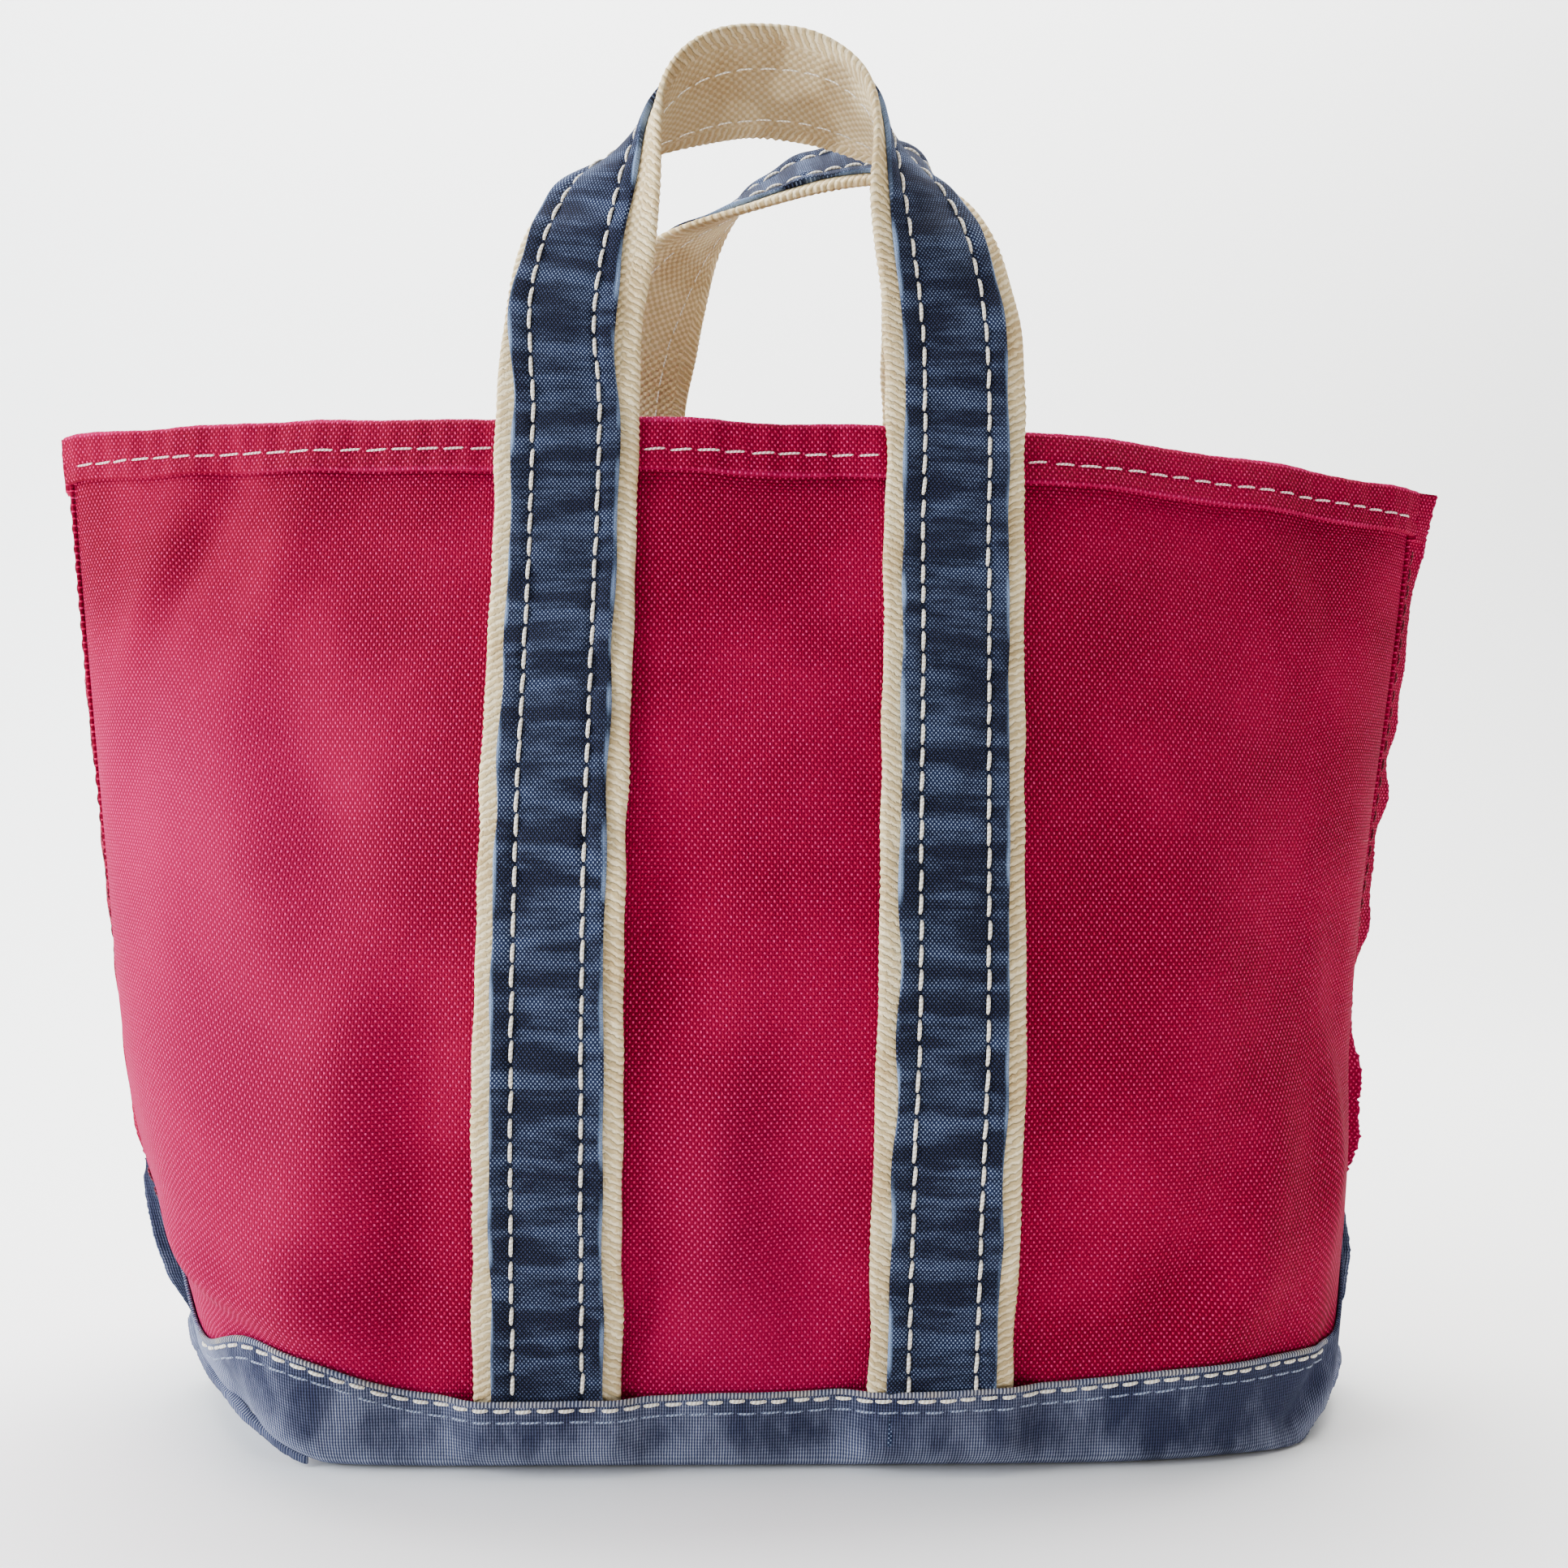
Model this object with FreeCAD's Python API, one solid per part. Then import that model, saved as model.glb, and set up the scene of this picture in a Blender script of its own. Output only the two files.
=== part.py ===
import FreeCAD, Part
import math
import os

from FreeCAD import Vector

# Small open-top canvas tote bag: a crimson body with its hem turned outwards, a navy
# boot around the bottom, seam allowances left standing outside, and two webbing straps,
# each with a narrower navy facing, sewn up the panels and looped into handles.
# Frame in millimetres: origin on the floor under the middle of the base, front panel
# towards -Y, +X to the right seen from the front, +Z up.

# ---- driving dimensions -------------------------------------------------------------
HEM_HEIGHT = 277.0            # floor to the folded top edge
HEM_DEPTH = 12.0              # height of the turned-out hem
CANVAS = 1.1                  # thickness of the crimson canvas
BOOT_CANVAS = 1.0             # thickness of the navy canvas
PLY_GAP = 0.15                # air left between sewn layers
BOOT_GAP = 0.45               # air left between the boot and the body

WEBBING_WIDTH = 38.1          # inch and a half webbing
WEBBING_THICK = 2.4
FACING_WIDTH = 28.5
FACING_THICK = 1.3
FACING_ROW = 8.8              # thread rows either side of the facing's middle
STRAP_OFFSET = 52.0           # strap middle from the bag's middle, along the panel
STRAP_SHIFT = {"front": 0.0, "back": 10.0}   # the back strap sits further to the right
STRAP_BOTTOM = 9.0            # strap ends, tucked under the boot's top edge
THREAD_WIDE = 0.9
THREAD_PROUD = 0.45

FLANGE_WIDTH = 8.0            # seam allowance standing outside the side seams
FLANGE_ROOT = 1.7             # allowance starts outside the layers that meet at the seam
BOOT_FLANGE_ROOT = 2.9
BOOT_FRONT_HEIGHT = 22.0      # boot above the floor between the straps
LIFT = {"left": 20.0, "right": 14.0}         # side seam's foot above the floor
LIFT_START = {"left": 108.0, "right": 149.0}   # bottom leaves the floor this far out
LIFT_FULL = {"left": 154.0, "right": 171.0}
CORNER_FOLD = {"left": 114.0, "right": 151.0}  # ends of the corner seams, this far out

HANDLE_RISE = 96.0            # strap middle, from the hinge line to the crown
HANDLE_GAP = 2.0              # free strap starts this far above the hem
LEAN = {"front": 15.0, "back": 30.0}   # crown leans inwards over the mouth
TILT = {"front": 25.0, "back": 40.0}   # the crown's webbing, degrees from level
SWAY = {"front": 0.0, "back": 28.0}    # crown pushed to the right

# Profiles of the body's outer face: (height, value) rows, smoothly joined.
SEAM_X = {
    "left": [(0, 161), (20, 166), (60, 179), (98, 185), (154, 191), (215, 196.5), (277, 201)],
    "right": [(0, 175.5), (20, 177.5), (60, 180.5), (98, 181.5), (160, 189.5), (215, 197), (277, 204)],
}
SEAM_Y = {"left": [(0, 0), (110, 0), (277, -7)], "right": [(0, 0), (110, 0), (277, 4)]}
MIDDLE_Y = {
    "front": [(0, -63), (30, -69), (110, -79), (165, -77), (220, -65), (277, -50)],
    "back": [(0, 63), (30, 68), (110, 75), (165, 72), (220, 60), (277, 44)],
}
# Plan shape y = depth * (1 - s ** FULLNESS) ** CORNER, s from 0 at the middle to 1 at
# the seam: squared over the base, a pointed lens at the mouth.
FULLNESS = {
    "left": [(0, 9), (60, 8), (120, 3.4), (277, 2.1)],
    "right": [(0, 6), (60, 5), (120, 3), (277, 2.1)],
}
CORNER = {
    "left": [(0, 0.95), (60, 0.90), (120, 0.66), (277, 0.85)],
    "right": [(0, 0.50), (60, 0.60), (120, 0.60), (277, 0.85)],
}
# Height of the boot's top edge against the fraction of the way round to the seam.
BOOT_TOP = {
    "left": [(0, 22), (0.42, 22), (0.55, 32), (0.64, 34), (0.79, 28), (0.90, 46), (1, 66)],
    "right": [(0, 22), (0.42, 25.5), (0.58, 28), (0.72, 27), (0.82, 28), (0.92, 45), (1, 57)],
}
# Seam allowance's turn towards the back, degrees from straight out, against height.
FLANGE_TURN = {
    "left": [(0, 25), (60, 35), (90, 68), (240, 66), (277, 40)],
    "right": [(0, 45), (60, 45), (88, 12), (120, 50), (250, 50), (277, 30)],
}

SIGN = {"front": -1.0, "back": 1.0, "left": -1.0, "right": 1.0}
SECTION_STEPS = 120
WALL_COLUMNS = 121             # places round a panel where its skins are fixed
BOOT_ROWS = 7                  # heights shared by the boot and the panel behind it
PARTS = {}
SECTIONS = {}


# ---- small mathematics --------------------------------------------------------------
def smooth(value):
    """Ease from 0 to 1 with level ends."""
    value = min(1.0, max(0.0, value))
    return value * value * (3.0 - 2.0 * value)


def profile(rows, height):
    """Value at a height on a smooth curve through the rows."""
    height = min(max(height, rows[0][0]), rows[-1][0])
    index = 0
    while index < len(rows) - 2 and height > rows[index + 1][0]:
        index += 1
    before = rows[max(index - 1, 0)]
    low, high = rows[index], rows[index + 1]
    after = rows[min(index + 2, len(rows) - 1)]
    span = high[0] - low[0]
    slope_low = (high[1] - before[1]) / (high[0] - before[0]) * span
    slope_high = (after[1] - low[1]) / (after[0] - low[0]) * span
    t = (height - low[0]) / span
    return (
        (2 * t ** 3 - 3 * t ** 2 + 1) * low[1]
        + (t ** 3 - 2 * t ** 2 + t) * slope_low
        + (3 * t ** 2 - 2 * t ** 3) * high[1]
        + (t ** 3 - t ** 2) * slope_high
    )


# ---- the body's outer face ----------------------------------------------------------
def end_of(value):
    """Which end of the bag a signed place belongs to."""
    return "left" if value < 0 else "right"


def plan_depth(side, height, s):
    """Distance of the wall from the seam plane at the fraction s of the half width."""
    depth = abs(profile(MIDDLE_Y[side], height) - profile(SEAM_Y[end_of(s)], height))
    fullness = profile(FULLNESS[end_of(s)], height)
    corner = profile(CORNER[end_of(s)], height)
    return depth * max(0.0, 1.0 - abs(s) ** fullness) ** corner


def section(side, height):
    """The wall's plan at a height, with the length along it from the bag's middle."""
    key = (side, round(height, 3))
    if key in SECTIONS:
        return SECTIONS[key]
    points = []
    for step in range(-SECTION_STEPS, SECTION_STEPS + 1):
        s = math.sin(0.5 * math.pi * step / SECTION_STEPS)
        half = profile(SEAM_X[end_of(s)], height)
        y = profile(SEAM_Y[end_of(s)], height) + SIGN[side] * plan_depth(side, height, s)
        points.append(Vector(s * half, y, 0))
    lengths = [0.0]
    for first, second in zip(points, points[1:]):
        lengths.append(lengths[-1] + first.distanceToPoint(second))
    middle = lengths[SECTION_STEPS]
    lengths = [length - middle for length in lengths]
    SECTIONS[key] = (points, lengths)
    return SECTIONS[key]


def along_wall(side, height, arc):
    """Plan point and outward normal at a length along the wall from the middle."""
    points, lengths = section(side, height)
    arc = min(max(arc, lengths[0]), lengths[-1])
    index = 0
    while index < len(lengths) - 2 and arc > lengths[index + 1]:
        index += 1
    t = (arc - lengths[index]) / (lengths[index + 1] - lengths[index])
    point = points[index] * (1 - t) + points[index + 1] * t
    before = points[max(index - 1, 0)]
    after = points[min(index + 2, len(points) - 1)]
    tangent = (after - before).normalize()
    normal = Vector(tangent.y, -tangent.x, 0) * (-SIGN[side])
    return point, normal


def half_arc(side, height, u):
    """Length from the middle to the side seam that u points at."""
    lengths = section(side, height)[1]
    return -lengths[0] if u < 0 else lengths[-1]


def bottom_lift(x):
    """Height of the bottom's edge: level in the middle, curling up to the side seams."""
    end = end_of(x)
    return LIFT[end] * smooth((abs(x) - LIFT_START[end]) / (LIFT_FULL[end] - LIFT_START[end]))


def edge_lift(side, u):
    """Lift of the wall's bottom edge."""
    point, _ = along_wall(side, 0.0, u * half_arc(side, 0.0, u))
    return bottom_lift(point.x)


def wall_point(side, u, z, offset):
    """A point off the wall's outer face: u from -1, left seam, to 1, right seam."""
    lift = edge_lift(side, u)
    height = HEM_HEIGHT * (z - lift) / (HEM_HEIGHT - lift)
    point, normal = along_wall(side, height, u * half_arc(side, height, u))
    place = point + normal * offset
    seam_y = profile(SEAM_Y[end_of(u)], height)
    clear = SIGN[side] * PLY_GAP
    if SIGN[side] * (place.y - seam_y) < PLY_GAP:
        place.y = seam_y + clear
    return Vector(place.x, place.y, z)


# ---- solids -------------------------------------------------------------------------
def skin(rows):
    """Smooth surface through rows of points."""
    surface = Part.BSplineSurface()
    surface.interpolate(rows)
    return surface


def sheet_solid(outer_rows, inner_rows):
    """Closed solid between two skins with the same rows of points."""
    outer = skin(outer_rows)
    inner = skin(inner_rows)
    faces = [outer.toShape(), inner.toShape()]
    u_low, u_high, v_low, v_high = outer.bounds()
    for value in (u_low, u_high):
        faces.append(Part.makeRuledSurface(outer.uIso(value).toShape(), inner.uIso(value).toShape()))
    for value in (v_low, v_high):
        faces.append(Part.makeRuledSurface(outer.vIso(value).toShape(), inner.vIso(value).toShape()))
    shell = Part.makeShell(faces)
    shell.sewShape()
    solid = Part.makeSolid(shell)
    if solid.Volume < 0:
        solid.reverse()
    return solid


def bar_solid(stations, ruled=False):
    """Loft of rectangles: each station is a corner list of four points."""
    wires = []
    for corners in stations:
        wires.append(Part.makePolygon(corners + [corners[0]]))
    return Part.makeLoft(wires, True, ruled)


def rectangle(centre, wide, thick, half_width, low, high):
    """Corners of a strip's cross-section, low and high measured along its thickness."""
    return [
        centre - wide * half_width + thick * low,
        centre + wide * half_width + thick * low,
        centre + wide * half_width + thick * high,
        centre - wide * half_width + thick * high,
    ]


def spread(low, high, count):
    """Even values from low to high."""
    return [low + (high - low) * step / (count - 1) for step in range(count)]


def keep(name, *solids):
    """Name a node, made of one solid or a group of separate ones."""
    PARTS[name] = solids[0] if len(solids) == 1 else Part.makeCompound(list(solids))


# ---- canvas -------------------------------------------------------------------------
def wall_sheet(side, u_values, z_low, z_high, low, high, rows):
    """Sheet on the wall between two edges, each a function of u, low and high its faces."""
    outer_rows, inner_rows = [], []
    for u in u_values:
        heights = spread(z_low(u), z_high(u), rows)
        outer_rows.append([wall_point(side, u, z, high(u, z)) for z in heights])
        inner_rows.append([wall_point(side, u, z, low(u, z)) for z in heights])
    return sheet_solid(outer_rows, inner_rows)


def boot_top(u):
    """Height of the boot's top edge."""
    return profile(BOOT_TOP[end_of(u)], abs(u))


def strap_bump(side, u, z):
    """How far the boot stands off the wall where the strap ends are tucked under it."""
    centre = SIGN[end_of(u)] * STRAP_OFFSET + STRAP_SHIFT[side]
    distance = abs(u * half_arc(side, 15.0, u) - centre)
    sideways = smooth((28.0 - distance) / 12.5)
    upwards = smooth(z / STRAP_BOTTOM)
    stack = WEBBING_THICK + FACING_THICK + 2 * PLY_GAP
    return BOOT_GAP + stack * sideways * upwards


def body_walls():
    for side in ("front", "back"):
        columns = spread(-1.0, 1.0, WALL_COLUMNS)
        outer_rows, inner_rows = [], []
        for u in columns:
            foot = edge_lift(side, u) + BOOT_CANVAS + PLY_GAP
            heights = spread(foot, boot_top(u), BOOT_ROWS) + spread(boot_top(u), HEM_HEIGHT, 13)[1:]
            outer_rows.append([wall_point(side, u, z, 0.0) for z in heights])
            inner_rows.append([wall_point(side, u, z, -CANVAS) for z in heights])
        keep("body_" + side, sheet_solid(outer_rows, inner_rows))
        keep(side + "_hem", wall_sheet(
            side, columns,
            lambda u: HEM_HEIGHT - HEM_DEPTH, lambda u: HEM_HEIGHT,
            lambda u, z: PLY_GAP, lambda u, z: PLY_GAP + CANVAS, 5))


def boot_walls():
    for side in ("front", "back"):
        keep("boot_" + side, wall_sheet(
            side, spread(-1.0, 1.0, WALL_COLUMNS),
            lambda u: edge_lift(side, u) + BOOT_CANVAS + PLY_GAP, boot_top,
            lambda u, z: strap_bump(side, u, z),
            lambda u, z: strap_bump(side, u, z) + BOOT_CANVAS, BOOT_ROWS))


def bottom_edges(x, inset):
    """Front and back edge of the bottom at a place along it."""
    s = x / (profile(SEAM_X[end_of(x)], 0) - inset)
    return -plan_depth("front", 0, s) + inset, plan_depth("back", 0, s) - inset


def bottom_sheet(name, low, high, inset):
    """Bottom between the two walls' edges: flat where it rests, curled up at both ends."""
    flat = {end: SIGN[end] * (LIFT_START[end] - 2.0) for end in ("left", "right")}
    outline = []
    for x in spread(flat["left"], flat["right"], 41):
        outline.append(Vector(x, bottom_edges(x, inset)[0], low))
    for x in spread(flat["right"], flat["left"], 41):
        outline.append(Vector(x, bottom_edges(x, inset)[1], low))
    outline.append(outline[0])
    solid = Part.Face(Part.makePolygon(outline)).extrude(Vector(0, 0, high - low))
    for end in ("left", "right"):
        tip = SIGN[end] * (profile(SEAM_X[end], 0) - inset) * 0.99
        upper_rows, lower_rows = [], []
        for x in spread(flat[end], tip, 27):
            across = spread(*bottom_edges(x, inset), 5)
            upper_rows.append([Vector(x, y, bottom_lift(x) + high) for y in across])
            lower_rows.append([Vector(x, y, bottom_lift(x) + low) for y in across])
        solid = solid.fuse(sheet_solid(upper_rows, lower_rows))
    keep(name, solid.Solids[0] if len(solid.Solids) == 1 else solid)


def bottoms():
    bottom_sheet("boot_bottom", 0.0, BOOT_CANVAS, -PLY_GAP)
    first = BOOT_CANVAS + PLY_GAP
    bottom_sheet("body_bottom", first, first + CANVAS, CANVAS + PLY_GAP)


# ---- seam allowances standing outside -----------------------------------------------
def flange_line(end, z, root_out):
    """Outward direction of a seam allowance at a height, and the middle of its root."""
    turn = math.radians(profile(FLANGE_TURN[end], z))
    out = Vector(SIGN[end] * math.cos(turn), math.sin(turn), 0)
    height = HEM_HEIGHT * (z - LIFT[end]) / (HEM_HEIGHT - LIFT[end])
    root = SIGN[end] * (profile(SEAM_X[end], height) + root_out)
    return out, Vector(root, profile(SEAM_Y[end], height), z)


def upright_flange(end, z_low, z_high, root_out, half_thick):
    """Strip outside a side seam, half_thick a function of the height."""
    stations = []
    for z in spread(z_low, z_high, 25):
        out, root = flange_line(end, z, root_out)
        across = Vector(-out.y, out.x, 0)
        thick = half_thick(z)
        stations.append(rectangle(root + out * (FLANGE_WIDTH / 2), out, across,
                                  FLANGE_WIDTH / 2, -thick, thick))
    return bar_solid(stations, ruled=True)


def box_flange(end):
    """Strip along the bottom seam, from the front corner past the side seam to the back."""
    stations = []
    half = profile(SEAM_X[end], 0)
    reach = math.acos(CORNER_FOLD[end] / half)
    for turn in spread(-1.0, 1.0, 29):
        side = "front" if turn < 0 else "back"
        s = SIGN[end] * math.cos(turn * reach)
        root = Vector(s * half, SIGN[side] * plan_depth(side, 0, s), bottom_lift(s * half))
        outward = Vector(s * half, root.y * 1.6, 0).normalize()
        width = 1.5 + 3.5 * smooth(1.0 - abs(turn))
        start = root + outward * (BOOT_GAP + BOOT_CANVAS + 0.9)
        middle = start + outward * (width / 2)
        stations.append(rectangle(middle, outward, Vector(0, 0, 1), width / 2, 0.1, 2.6))
    return bar_solid(stations, ruled=True)


def seam_allowances():
    for end in ("left", "right"):
        boot_foot = LIFT[end] + 3.2
        boot_head = BOOT_TOP[end][-1][1]
        hem_foot = HEM_HEIGHT - HEM_DEPTH

        def body_thick(z):
            return CANVAS + 1.2 * smooth((z - hem_foot + 4.0) / 4.0)

        keep("side_seam_" + end,
             upright_flange(end, boot_head + 0.3, HEM_HEIGHT, FLANGE_ROOT, body_thick))
        keep("boot_side_seam_" + end,
             upright_flange(end, boot_foot, boot_head, BOOT_FLANGE_ROOT,
                            lambda z: CANVAS + BOOT_CANVAS))
        keep("boot_corner_seam_" + end, box_flange(end))


# ---- straps sewn to the panels ------------------------------------------------------
def strap_place(side, end, z):
    """Wall point under the strap's middle, the strap's width direction and its normal."""
    point, normal = along_wall(side, z, SIGN[end] * STRAP_OFFSET + STRAP_SHIFT[side])
    wide = Vector(-normal.y, normal.x, 0)
    if wide.x * SIGN[end] > 0:
        wide = wide * -1.0
    return Vector(point.x, point.y, z), wide, normal


def strap_clear(z):
    """Gap behind the strap: it rides up over the hem's extra layer."""
    return 0.45 + (CANVAS + PLY_GAP + 0.1) * smooth((z - HEM_HEIGHT + HEM_DEPTH + 10.0) / 8.0)


def sewn_strip(side, end, shift, half_width, low, high, z_low, z_high):
    """Strip that runs up the panel with the strap."""
    stations = []
    for z in spread(z_low, z_high, 22):
        point, wide, normal = strap_place(side, end, z)
        clear = strap_clear(z)
        stations.append(rectangle(point + wide * shift, wide, normal,
                                  half_width, clear + low, clear + high))
    return bar_solid(stations)


FACING_LOW = WEBBING_THICK + PLY_GAP
FACING_HIGH = FACING_LOW + FACING_THICK
THREAD_LOW = FACING_HIGH + 0.35
THREAD_HIGH = THREAD_LOW + THREAD_PROUD
LEG_TOP = HEM_HEIGHT - 0.5


def sewn_straps():
    for side in ("front", "back"):
        for end in ("left", "right"):
            name = side + "_strap_" + end
            keep(name + "_webbing", sewn_strip(
                side, end, 0, WEBBING_WIDTH / 2, 0, WEBBING_THICK, STRAP_BOTTOM, LEG_TOP))
            keep(name + "_facing", sewn_strip(
                side, end, 0, FACING_WIDTH / 2, FACING_LOW, FACING_HIGH, STRAP_BOTTOM, LEG_TOP))
            rows = []
            for shift in (-FACING_ROW, FACING_ROW):
                rows.append(sewn_strip(side, end, shift, THREAD_WIDE / 2, THREAD_LOW,
                                       THREAD_HIGH, BOOT_FRONT_HEIGHT + 6.0, LEG_TOP))
            keep(name + "_thread", *rows)


# ---- handles ------------------------------------------------------------------------
def handle_frame(side, turn):
    """Middle and width direction of the free strap, turn from 0 to 1."""
    end = end_of(turn - 0.5)
    tilt = math.radians(TILT[side])
    angle = math.pi * (turn if turn < 0.5 else 1.0 - turn)
    foot, wide, normal = strap_place(side, end, HEM_HEIGHT)
    foot = foot + normal * (strap_clear(HEM_HEIGHT) + WEBBING_THICK / 2)
    foot.z = HEM_HEIGHT + HANDLE_GAP
    across = math.cos(angle) ** 0.87
    up = math.sin(angle) ** 0.87
    centre = STRAP_SHIFT[side]
    middle = Vector(centre + (foot.x - centre) * across + SWAY[side] * up ** 4,
                    foot.y - SIGN[side] * LEAN[side] * up ** 1.5,
                    foot.z + HANDLE_RISE * up)
    crown = Vector(0, SIGN[side] * math.cos(tilt), math.sin(tilt))
    share = smooth(angle / (0.5 * math.pi))
    return middle, wide * (1.0 - share) + crown * share


def handle_stations(side):
    """Frames along the free strap, squared to its own direction."""
    middles, crossings = [], []
    for turn in spread(0.0, 1.0, 37):
        middle, across = handle_frame(side, turn)
        middles.append(middle)
        crossings.append(across)
    frames = []
    for index, middle in enumerate(middles):
        ahead = middles[min(index + 1, len(middles) - 1)]
        behind = middles[max(index - 1, 0)]
        along = (ahead - behind).normalize()
        if index == 0:
            along = Vector(0, 0, 1)
        if index == len(middles) - 1:
            along = Vector(0, 0, -1)
        wide = crossings[index] - along * crossings[index].dot(along)
        wide.normalize()
        normal = wide.cross(along) * (-SIGN[side])
        frames.append((middle, wide, normal))
    return frames


def free_strip(frames, shift, half_width, low, high):
    """Strip that follows the free strap."""
    stations = []
    for middle, wide, normal in frames:
        stations.append(rectangle(middle + wide * shift, wide, normal, half_width, low, high))
    return bar_solid(stations)


def handles():
    half = WEBBING_THICK / 2
    for side in ("front", "back"):
        frames = handle_stations(side)
        name = side + "_handle_"
        keep(name + "webbing", free_strip(frames, 0, WEBBING_WIDTH / 2, -half, half))
        keep(name + "facing", free_strip(
            frames, 0, FACING_WIDTH / 2, FACING_LOW - half, FACING_HIGH - half))
        rows = []
        for shift in (-FACING_ROW, FACING_ROW):
            rows.append(free_strip(
                frames, shift, THREAD_WIDE / 2, THREAD_LOW - half, THREAD_HIGH - half))
        keep(name + "thread", *rows)


# ---- thread rows around the bag -----------------------------------------------------
def thread_row(side, u_low, u_high, height, offset, count):
    """Row of stitching along the wall."""
    stations = []
    for u in spread(u_low, u_high, count):
        z = height(u)
        base = offset(u, z)
        corners = []
        for dz, out in ((-0.5, 0), (0.5, 0), (0.5, 1), (-0.5, 1)):
            place = wall_point(side, u, z, base + out * THREAD_PROUD)
            place.z = z + dz * THREAD_WIDE
            corners.append(place)
        stations.append(corners)
    return bar_solid(stations, ruled=True)


def thread_rows():
    for side in ("front", "back"):
        hem_face = 2 * PLY_GAP + CANVAS
        clear = WEBBING_WIDTH / 2 + 1.5
        stops = []
        for end in ("left", "right"):
            strap = SIGN[end] * STRAP_OFFSET + STRAP_SHIFT[side]
            for edge in (strap - clear, strap + clear):
                stops.append(edge / half_arc(side, HEM_HEIGHT, edge))
        runs = []
        for low, high in ((-0.95, stops[0]), (stops[1], stops[2]), (stops[3], 0.95)):
            runs.append(thread_row(side, low, high, lambda u: HEM_HEIGHT - 0.6 * HEM_DEPTH,
                                   lambda u, z: hem_face, 17))
        keep(side + "_hem_thread", *runs)
        for name, drop in (("upper", 2.2), ("lower", 5.2)):
            keep("boot_" + side + "_" + name + "_thread", thread_row(
                side, -0.93, 0.93, lambda u: boot_top(u) - drop,
                lambda u, z: strap_bump(side, u, z) + BOOT_CANVAS + 0.3, 121))


def side_seam_threads():
    for end in ("left", "right"):
        runs = []
        boot_head = BOOT_TOP[end][-1][1]
        spans = (
            (LIFT[end] + 5.0, boot_head, BOOT_FLANGE_ROOT, CANVAS + BOOT_CANVAS),
            (boot_head + 1.0, HEM_HEIGHT - HEM_DEPTH - 6.0, FLANGE_ROOT, CANVAS),
        )
        for low, high, root_out, face in spans:
            for way in (-1, 1):
                stations = []
                for z in spread(low, high, 25):
                    out, root = flange_line(end, z, root_out)
                    across = Vector(-out.y, out.x, 0) * way
                    stations.append(rectangle(root + out * 1.4, out, across,
                                              THREAD_WIDE / 2, face + 0.1, face + 0.5))
                runs.append(bar_solid(stations, ruled=True))
        keep("side_seam_" + end + "_thread", *runs)


# ---- build --------------------------------------------------------------------------
body_walls()
boot_walls()
bottoms()
seam_allowances()
sewn_straps()
handles()
thread_rows()
side_seam_threads()

os.makedirs("parts", exist_ok=True)
for name, shape in PARTS.items():
    if not shape.isValid():
        print("not valid:", name)
    shape.exportStep("parts/" + name + ".step")
print(len(PARTS), "nodes written")
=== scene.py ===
import math

import bpy
import numpy as np
from mathutils import Matrix, Vector


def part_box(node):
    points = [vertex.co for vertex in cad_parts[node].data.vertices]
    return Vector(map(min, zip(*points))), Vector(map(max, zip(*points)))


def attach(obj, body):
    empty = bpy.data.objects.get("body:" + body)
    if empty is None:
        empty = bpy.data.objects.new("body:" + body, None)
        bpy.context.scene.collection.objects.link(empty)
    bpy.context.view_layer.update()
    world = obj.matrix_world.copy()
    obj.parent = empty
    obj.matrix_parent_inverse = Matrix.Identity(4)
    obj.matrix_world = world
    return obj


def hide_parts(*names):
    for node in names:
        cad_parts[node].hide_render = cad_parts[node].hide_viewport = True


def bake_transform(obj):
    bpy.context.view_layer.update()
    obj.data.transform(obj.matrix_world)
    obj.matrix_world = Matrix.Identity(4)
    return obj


# The canvas tote's looks: body, boot, straps and every stitch, built in millimetres around
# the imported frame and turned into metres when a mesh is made. Axes as in the frame:
# front panel towards -Y, +X to the right seen from the front, +Z up.

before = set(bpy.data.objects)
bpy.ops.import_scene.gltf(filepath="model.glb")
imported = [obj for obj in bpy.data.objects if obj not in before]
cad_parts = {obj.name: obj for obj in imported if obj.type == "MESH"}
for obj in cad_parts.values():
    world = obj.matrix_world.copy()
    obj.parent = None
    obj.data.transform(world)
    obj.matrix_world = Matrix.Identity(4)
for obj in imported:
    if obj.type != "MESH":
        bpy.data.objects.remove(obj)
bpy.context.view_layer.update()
MM = 0.001
FULL_TURN = 2 * math.pi


def node_box(node):
    """Lowest and highest corner of a CAD node, in millimetres."""
    low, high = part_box(node)
    return np.array(low) / MM, np.array(high) / MM


# ---- sizes, read from the frame or repeated from the design -------------------------
HEM_TOP = node_box("body_front")[1][2]
HEM_FOOT = node_box("front_hem")[0][2]
HEM_DEPTH = HEM_TOP - HEM_FOOT
CANVAS = 1.1
BOOT_CANVAS = 1.0
BOOT_GAP = 0.45
STRAP_OFFSET = 52.0
STRAP_SHIFT = {"front": 0.0, "back": 10.0}   # the back strap sits further right
STRAP_WANDER = 2.5            # the right strap runs in by this much towards the boot
WANDER_RUN = 127.0            # over this height below the hem
BUMP_HEIGHT = 15.0            # the boot bulges over the straps where they lie at this height,
BUMP_REACH = 28.0             # this far to each side of a strap's middle,
BUMP_SLOPE = 12.5             # rising over this distance
STRAP_BOTTOM = node_box("front_strap_left_webbing")[0][2]
WEBBING_WIDTH = 38.1
WEBBING_THICK = 2.4
FACING_WIDTH = 28.5
FACING_THICK = 1.3
FACING_ROW = 8.8
FLANGE_WIDTH = 8.0
HEM_ROW = HEM_TOP - 0.6 * HEM_DEPTH
HEM_FACE = 2.12               # the hem's outer face and its stitches, out from the panel's
HEM_PITCH = 7.3               # from stitch to stitch along the hem
STRAP_PITCH = 6.2
SEAM_PITCH = 5.5
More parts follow.
